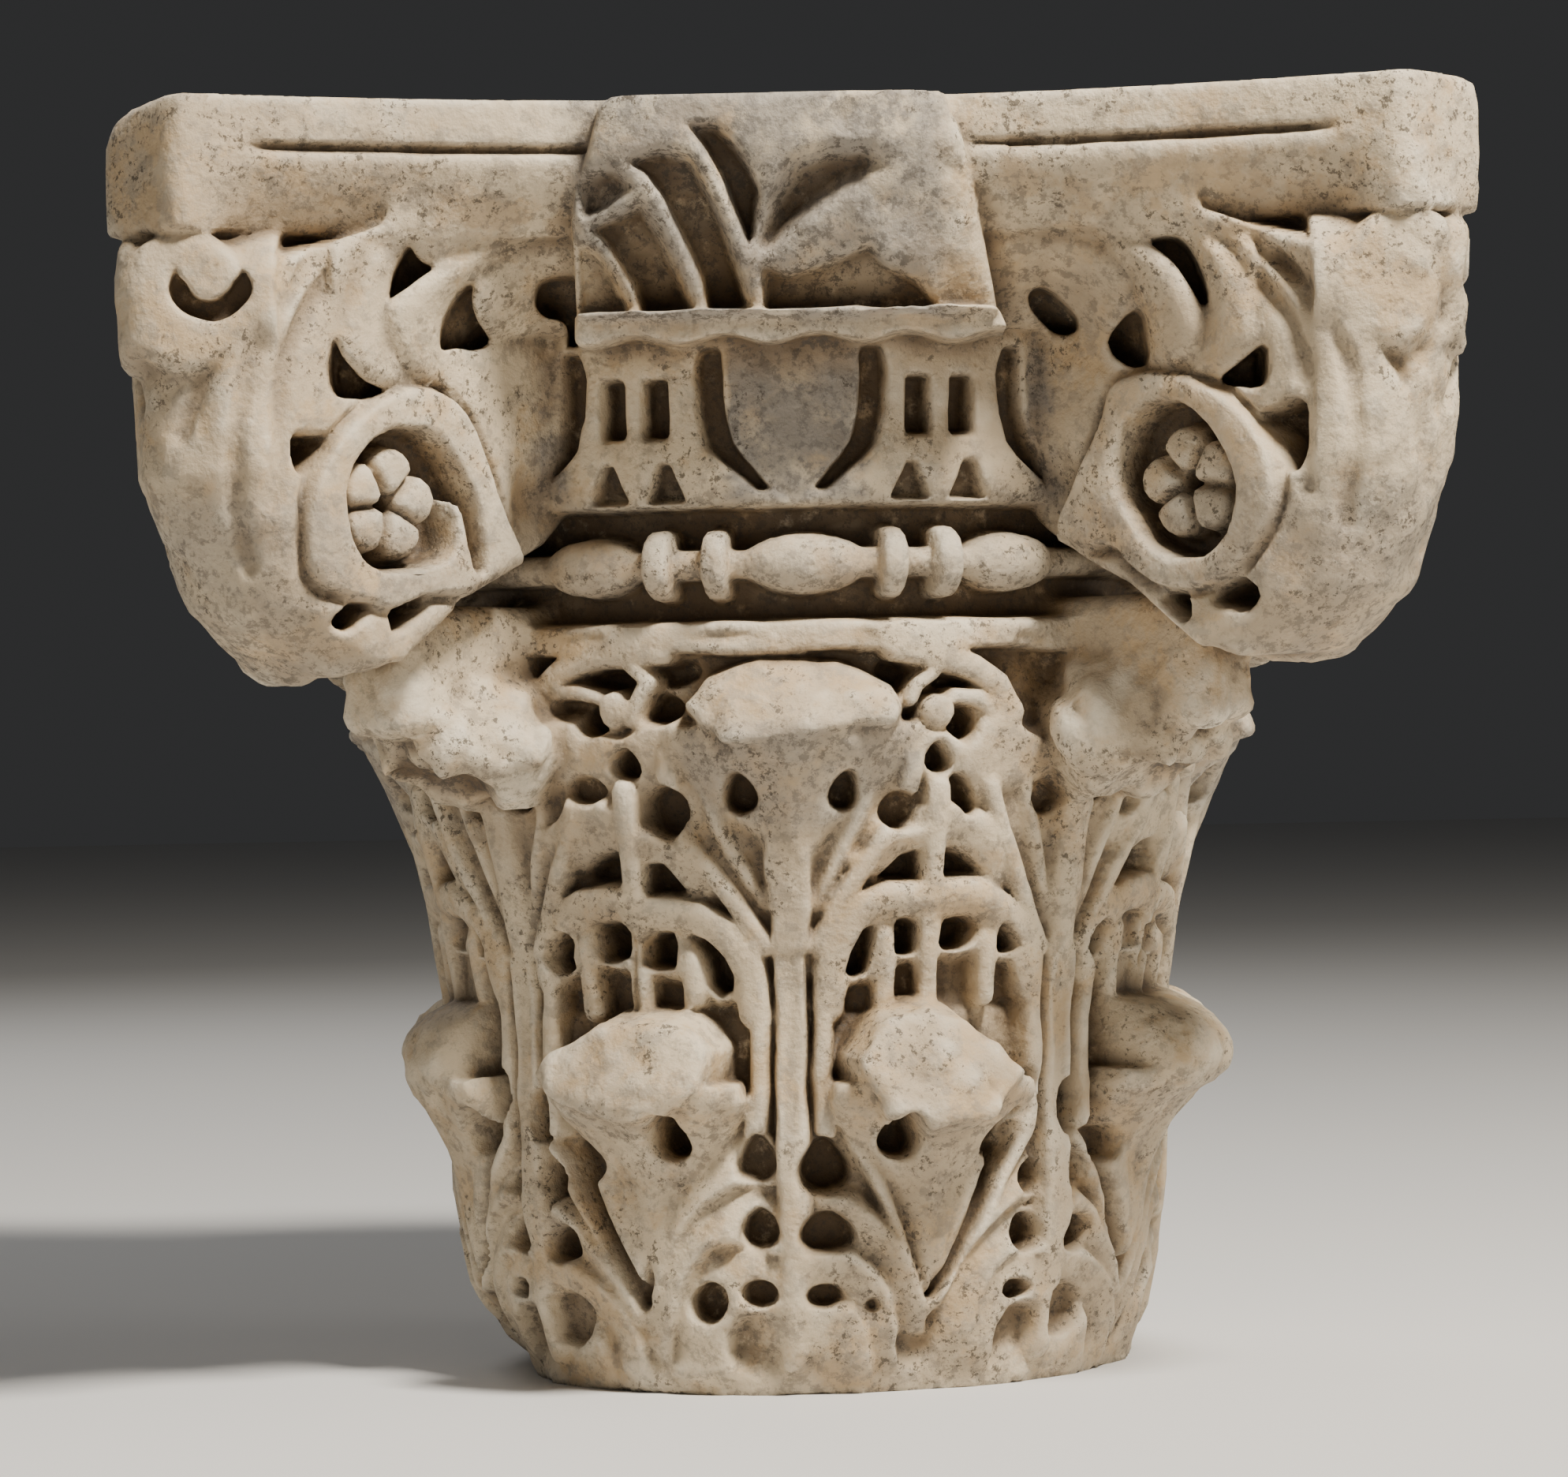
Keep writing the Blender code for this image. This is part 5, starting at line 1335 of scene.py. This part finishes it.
def build_marble():
    field, low_x, low_z = capital_field()
    field = soften(field)
    points, quads = mesh_from_field(field, low_x, low_z)
    print("field mesh", len(points), len(quads))

    # Weathered surface: soft dents everywhere, rougher where the stone is broken
    normals = normals_of(field, points, low_x, low_z)
    x, y, z = points[:, 0], points[:, 1], points[:, 2]
    radius = np.hypot(x, y)
    spread = np.abs(x) + np.abs(y)
    broken = np.zeros(len(points))
    broken = np.maximum(broken, window(z, 0.092, 0.128, 0.004) * smooth(radius, 0.138, 0.144))
    broken = np.maximum(broken, window(z, 0.216, 0.248, 0.004) * smooth(radius, 0.148, 0.154))
    flower = 0.8 * smooth(x, 0.0, 0.02) * (z > 0.357) * smooth(-y, 0.172, 0.178) * (np.abs(x) < 0.07)
    broken = np.maximum(broken, flower)
    corner = smooth(x, 0.186, 0.2) * smooth(-y, 0.17, 0.19) * window(z, 0.34, 0.405, 0.01)
    broken = np.maximum(broken, corner)
    broken = np.maximum(broken, 0.7 * (1.0 - smooth(z, 0.008, 0.026)))
    nose = smooth(spread, 0.355, 0.375) * window(z, 0.25, 0.372, 0.01)
    broken = np.maximum(broken, 0.55 * nose)
    lips = smooth(spread, 0.225, 0.24) * window(z, 0.206, 0.240, 0.006)
    broken = np.maximum(broken, 0.8 * lips)
    lumps = smooth(spread, 0.195, 0.215) * window(z, 0.200, 0.242, 0.008)
    push = 0.00035 * lattice_noise(points, 0.013, 1) + 0.00022 * lattice_noise(points, 0.006, 2)
    push += broken * (0.0011 * lattice_noise(points, 0.009, 3) + 0.0006 * lattice_noise(points, 0.0042, 4))
    push += lumps * (0.0034 * lattice_noise(points, 0.019, 5) + 0.0016 * lattice_noise(points, 0.011, 6))
    flat = (z > HEIGHT - 0.0012) | (z < 0.0012)
    push[flat] = 0.0
    points = points + normals * push[:, None]

    item = make_object("carved_marble", points, quads)
    total = triangle_count(item.data)
    here = vertex_points(item)
    front = faces_front(here)
    share = front.mean()
    back_target = int(0.34 * TRIANGLES)
    thin(item, total * share + back_target, ~front)
    front = faces_front(vertex_points(item))
    thin(item, TRIANGLES, front)

    mesh = item.data
    here = vertex_points(item)
    here[np.abs(here[:, 2]) < 0.0011, 2] = 0.0
    here[:, 2] = np.maximum(here[:, 2], 0.0)
    here[here[:, 2] > HEIGHT - 0.0009, 2] = HEIGHT
    mesh.vertices.foreach_set("co", here.ravel())
    mesh.update()
    print("carved marble", len(mesh.vertices), triangle_count(mesh))

    # How enclosed each point is, near by and farther off
    solid = np.clip(0.5 - field / STEP, 0.0, 1.0)
    nx, ny, nz = (size // 2 * 2 for size in solid.shape)
    solid = solid[:nx, :ny, :nz].reshape(nx // 2, 2, ny // 2, 2, nz // 2, 2).mean(axis=(1, 3, 5))
    origin = np.array([low_x, low_x, low_z]) + STEP / 2
    close = read(box_blur(solid, 1), here, origin, 2 * STEP)
    wide = read(box_blur(solid, 3), here, origin, 2 * STEP)
    broad = read(box_blur(solid, 6), here, origin, 2 * STEP)
    add_values(mesh, "edge_wear", np.clip((0.46 - close) * 5.0, 0.0, 1.0))
    # Painted shade: darker the more a point is enclosed, in hollows and tight creases
    add_values(mesh, "cavity_shade", np.clip(np.maximum((wide - 0.51) * 4.6, (close - 0.60) * 5.0), 0.0, 1.0))
    add_values(mesh, "shelter", np.clip((broad - 0.52) * 4.0, 0.0, 1.0))
    # Grey brown patina, with painted shade under the upper leaf tips
    add_values(mesh, "patina_and_shade", patina_and_shade_of(here))
    facing = np.empty(len(mesh.vertices) * 3)
    mesh.vertices.foreach_get("normal", facing)
    # Painted shade: the more a surface faces down, the darker brown it is painted
    add_values(mesh, "under", np.clip(-facing.reshape(-1, 3)[:, 2] * 1.3 - 0.1, 0.0, 1.0))
    for face in mesh.polygons:
        face.use_smooth = True
    return item


def patina_and_shade_of(points):
    """Grey brown patina on the egg faces, the fleuron hollows and the bead ring, and painted shade on the
    sheltered undersides below the upper leaf tips.
    """
    x, y, z = points[:, 0], points[:, 1], points[:, 2]
    radius = np.hypot(x, y)
    theta = np.degrees(np.arctan2(x, -y))
    side = np.abs(np.mod(theta + 45.0, 90.0) - 45.0)
    egg = np.minimum(side, np.abs(side - 39.3))
    value = 0.85 * (egg < 8.6) * window(z, 0.302, 0.352, 0.003) * smooth(radius, 0.146, 0.149)
    value = value * (radius < 0.158)
    flower = window(x, -0.068, 0.045, 0.01) * window(z, 0.358, 0.430, 0.004) * smooth(-y, 0.172, 0.18)
    value = np.maximum(value, 0.75 * flower)
    # Painted shade: grey brown on the sheltered undersides below the upper leaf tips
    under = window(z, 0.196, 0.224, 0.006) * (side < 16.0) * smooth(radius, 0.136, 0.142)
    value = np.maximum(value, 0.45 * under)
    value = np.maximum(value, 0.3 * window(z, 0.268, 0.3, 0.004))
    return value


def add_values(mesh, name, values):
    attribute = mesh.attributes.new(name, "FLOAT", "POINT")
    attribute.data.foreach_set("value", values.astype(np.float32))


# Marble

CREAM = (0.63, 0.52, 0.36)
DULL_CREAM = (0.48, 0.38, 0.255)
TAN = (0.52, 0.375, 0.215)
BROWN_GREY = (0.33, 0.275, 0.205)
WORN_PALE = (0.76, 0.685, 0.545)
# Painted shade on surfaces that face down
UNDERSIDE_SHADE_BROWN = (0.25, 0.205, 0.15)
# Patina, and painted shade under the upper leaf tips
PATINA_AND_SHADE_GREY = (0.235, 0.215, 0.19)
OCHRE = (0.36, 0.24, 0.12)
# Painted shade in enclosed hollows and creases
CAVITY_SHADE_BROWN = (0.085, 0.055, 0.03)
SPECK = (0.07, 0.055, 0.04)
FINE_SPECK = (0.06, 0.048, 0.036)


def marble_material():
    material = bpy.data.materials.new("weathered_marble")
    material.use_nodes = True
    tree = material.node_tree
    nodes = tree.nodes
    shader = nodes["Principled BSDF"]
    shader.inputs["Roughness"].default_value = 0.68
    shader.inputs["Specular IOR Level"].default_value = 0.35
    shader.inputs["Subsurface Weight"].default_value = 0.06
    shader.inputs["Subsurface Radius"].default_value = (0.008, 0.005, 0.003)
    shader.inputs["Subsurface Scale"].default_value = 0.5
    place = nodes.new("ShaderNodeTexCoord").outputs["Object"]

    def link(a, b):
        tree.links.new(a, b)

    def noise(scale, detail, rough=0.6):
        node = nodes.new("ShaderNodeTexNoise")
        node.inputs["Scale"].default_value = scale
        node.inputs["Detail"].default_value = detail
        node.inputs["Roughness"].default_value = rough
        link(place, node.inputs["Vector"])
        return node.outputs["Fac"]

    def ramp(source, low, high, bottom=0.0, top=1.0):
        node = nodes.new("ShaderNodeMapRange")
        node.interpolation_type = "SMOOTHSTEP"
        node.inputs["From Min"].default_value = low
        node.inputs["From Max"].default_value = high
        node.inputs["To Min"].default_value = bottom
        node.inputs["To Max"].default_value = top
        link(source, node.inputs["Value"])
        return node.outputs["Result"]

    def times(a, b):
        node = nodes.new("ShaderNodeMath")
        node.operation = "MULTIPLY"
        link(a, node.inputs[0])
        if isinstance(b, float):
            node.inputs[1].default_value = b
        else:
            link(b, node.inputs[1])
        return node.outputs["Value"]

    def plus(a, b):
        node = nodes.new("ShaderNodeMath")
        node.operation = "ADD"
        node.use_clamp = True
        link(a, node.inputs[0])
        link(b, node.inputs[1])
        return node.outputs["Value"]

    def mix(fac, a, b):
        node = nodes.new("ShaderNodeMix")
        node.data_type = "RGBA"
        link(fac, node.inputs["Factor"])
        for value, index in ((a, 6), (b, 7)):
            if isinstance(value, tuple):
                node.inputs[index].default_value = value + (1.0,)
            else:
                link(value, node.inputs[index])
        return node.outputs[2]

    def attribute(name):
        node = nodes.new("ShaderNodeAttribute")
        node.attribute_name = name
        return node.outputs["Fac"]

    cavity_shade = attribute("cavity_shade")
    shelter = attribute("shelter")
    wear = attribute("edge_wear")
    patina_and_shade = attribute("patina_and_shade")
    under = attribute("under")
    colour = mix(ramp(noise(9.0, 4.0), 0.38, 0.62), CREAM, DULL_CREAM)
    colour = mix(ramp(noise(34.0, 5.0, 0.7), 0.49, 0.60, 0.0, 0.8), colour, TAN)
    colour = mix(ramp(noise(120.0, 5.0, 0.75), 0.50, 0.60, 0.0, 0.6), colour, BROWN_GREY)
    pale = times(wear, ramp(noise(55.0, 4.0), 0.30, 0.6))
    colour = mix(times(pale, 0.75), colour, WORN_PALE)
    # Painted shade: surfaces that face down are painted darker brown
    shade = times(under, ramp(noise(45.0, 5.0, 0.7), 0.32, 0.58))
    colour = mix(times(shade, 0.7), colour, UNDERSIDE_SHADE_BROWN)
    # Grey brown patina, and painted shade under the upper leaf tips
    grey = times(patina_and_shade, ramp(noise(60.0, 6.0, 0.7), 0.28, 0.52))
    colour = mix(grey, colour, PATINA_AND_SHADE_GREY)
    ochre = times(shelter, ramp(noise(24.0, 3.0), 0.38, 0.58))
    colour = mix(times(ochre, 0.8), colour, OCHRE)
    # Painted shade: near black brown in the enclosed hollows and creases
    cavity_shading = times(cavity_shade, ramp(noise(90.0, 6.0, 0.7), 0.24, 0.46))
    colour = mix(times(cavity_shading, 0.92), colour, CAVITY_SHADE_BROWN)
    # Fine dark specks, gathered in the patina and in the painted shade of hollows and undersides
    dust_and_shade = plus(plus(times(patina_and_shade, 0.4), times(cavity_shade, 0.5)), times(under, 0.6))
    specks = times(ramp(noise(330.0, 4.0, 0.8), 0.55, 0.61), ramp(noise(22.0, 3.0), 0.46, 0.56))
    colour = mix(times(specks, 0.8), colour, SPECK)
    more = times(ramp(noise(240.0, 5.0, 0.8), 0.51, 0.57), dust_and_shade)
    colour = mix(times(more, 0.85), colour, FINE_SPECK)
    link(colour, shader.inputs["Base Color"])

    # Pitted grain
    grain = noise(900.0, 4.0, 0.7)
    pits = nodes.new("ShaderNodeTexVoronoi")
    pits.inputs["Scale"].default_value = 260.0
    link(place, pits.inputs["Vector"])
    dots = ramp(pits.outputs["Distance"], 0.0, 0.35)
    some = ramp(noise(60.0, 3.0), 0.45, 0.60)
    first = nodes.new("ShaderNodeBump")
    first.inputs["Strength"].default_value = 0.45
    first.inputs["Distance"].default_value = 0.0006
    link(grain, first.inputs["Height"])
    second = nodes.new("ShaderNodeBump")
    second.inputs["Strength"].default_value = 0.35
    second.inputs["Distance"].default_value = 0.0009
    link(times(dots, some), second.inputs["Height"])
    link(first.outputs["Normal"], second.inputs["Normal"])
    third = nodes.new("ShaderNodeBump")
    third.inputs["Strength"].default_value = 0.5
    third.inputs["Distance"].default_value = 0.0022
    link(noise(150.0, 5.0, 0.6), third.inputs["Height"])
    link(second.outputs["Normal"], third.inputs["Normal"])
    link(third.outputs["Normal"], shader.inputs["Normal"])
    return material


def floor_material():
    material = bpy.data.materials.new("pale_floor")
    material.use_nodes = True
    shader = material.node_tree.nodes["Principled BSDF"]
    shader.inputs["Base Color"].default_value = (0.72, 0.71, 0.69, 1.0)
    shader.inputs["Roughness"].default_value = 0.75
    return material


def add_floor():
    bpy.ops.mesh.primitive_plane_add(size=14.0, location=(0.0, 3.0, 0.0))
    floor = bpy.context.object
    floor.name = "floor"
    floor.data.materials.append(floor_material())


def add_light(name, place, target, size, power, colour):
    data = bpy.data.lights.new(name, "AREA")
    data.size = size
    data.energy = power
    data.color = colour
    light = bpy.data.objects.new(name, data)
    light.location = place
    light.rotation_euler = (Vector(target) - Vector(place)).to_track_quat("-Z", "Y").to_euler()
    bpy.context.scene.collection.objects.link(light)


def add_lights():
    add_light("key", (0.75, -1.05, 1.95), (0.0, 0.0, 0.2), 0.36, 104.0, (1.0, 0.94, 0.85))
    add_light("fill", (-2.1, -1.7, 0.8), (0.0, 0.0, 0.2), 1.4, 4.5, (0.95, 0.97, 1.0))
    add_light("side", (2.3, 0.1, 0.8), (0.0, 0.0, 0.2), 1.0, 7.0, (1.0, 0.97, 0.92))
    add_light("back", (-1.0, 1.8, 1.7), (0.0, 0.0, 0.3), 1.2, 14.0, (1.0, 1.0, 1.0))
    world = bpy.data.worlds.new("studio")
    world.use_nodes = True
    background = world.node_tree.nodes["Background"]
    background.inputs["Color"].default_value = (0.80, 0.81, 0.83, 1.0)
    background.inputs["Strength"].default_value = 0.04
    bpy.context.scene.world = world


def add_camera():
    data = bpy.data.cameras.new("camera")
    data.sensor_width = 36.0
    data.lens = data.sensor_width * FOCAL / PICTURE_WIDTH
    camera = bpy.data.objects.new("camera", data)
    camera.location = (CAMERA_X / 1000.0, -CAMERA_FAR / 1000.0, CAMERA_Z / 1000.0)
    camera.rotation_euler = (math.pi / 2, ROLL, 0.0)
    bpy.context.scene.collection.objects.link(camera)
    bpy.context.scene.camera = camera


marble = build_marble()
marble.data.materials.clear()
marble.data.materials.append(marble_material())
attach(marble, "root")
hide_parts("capital")
add_floor()
add_lights()
add_camera()
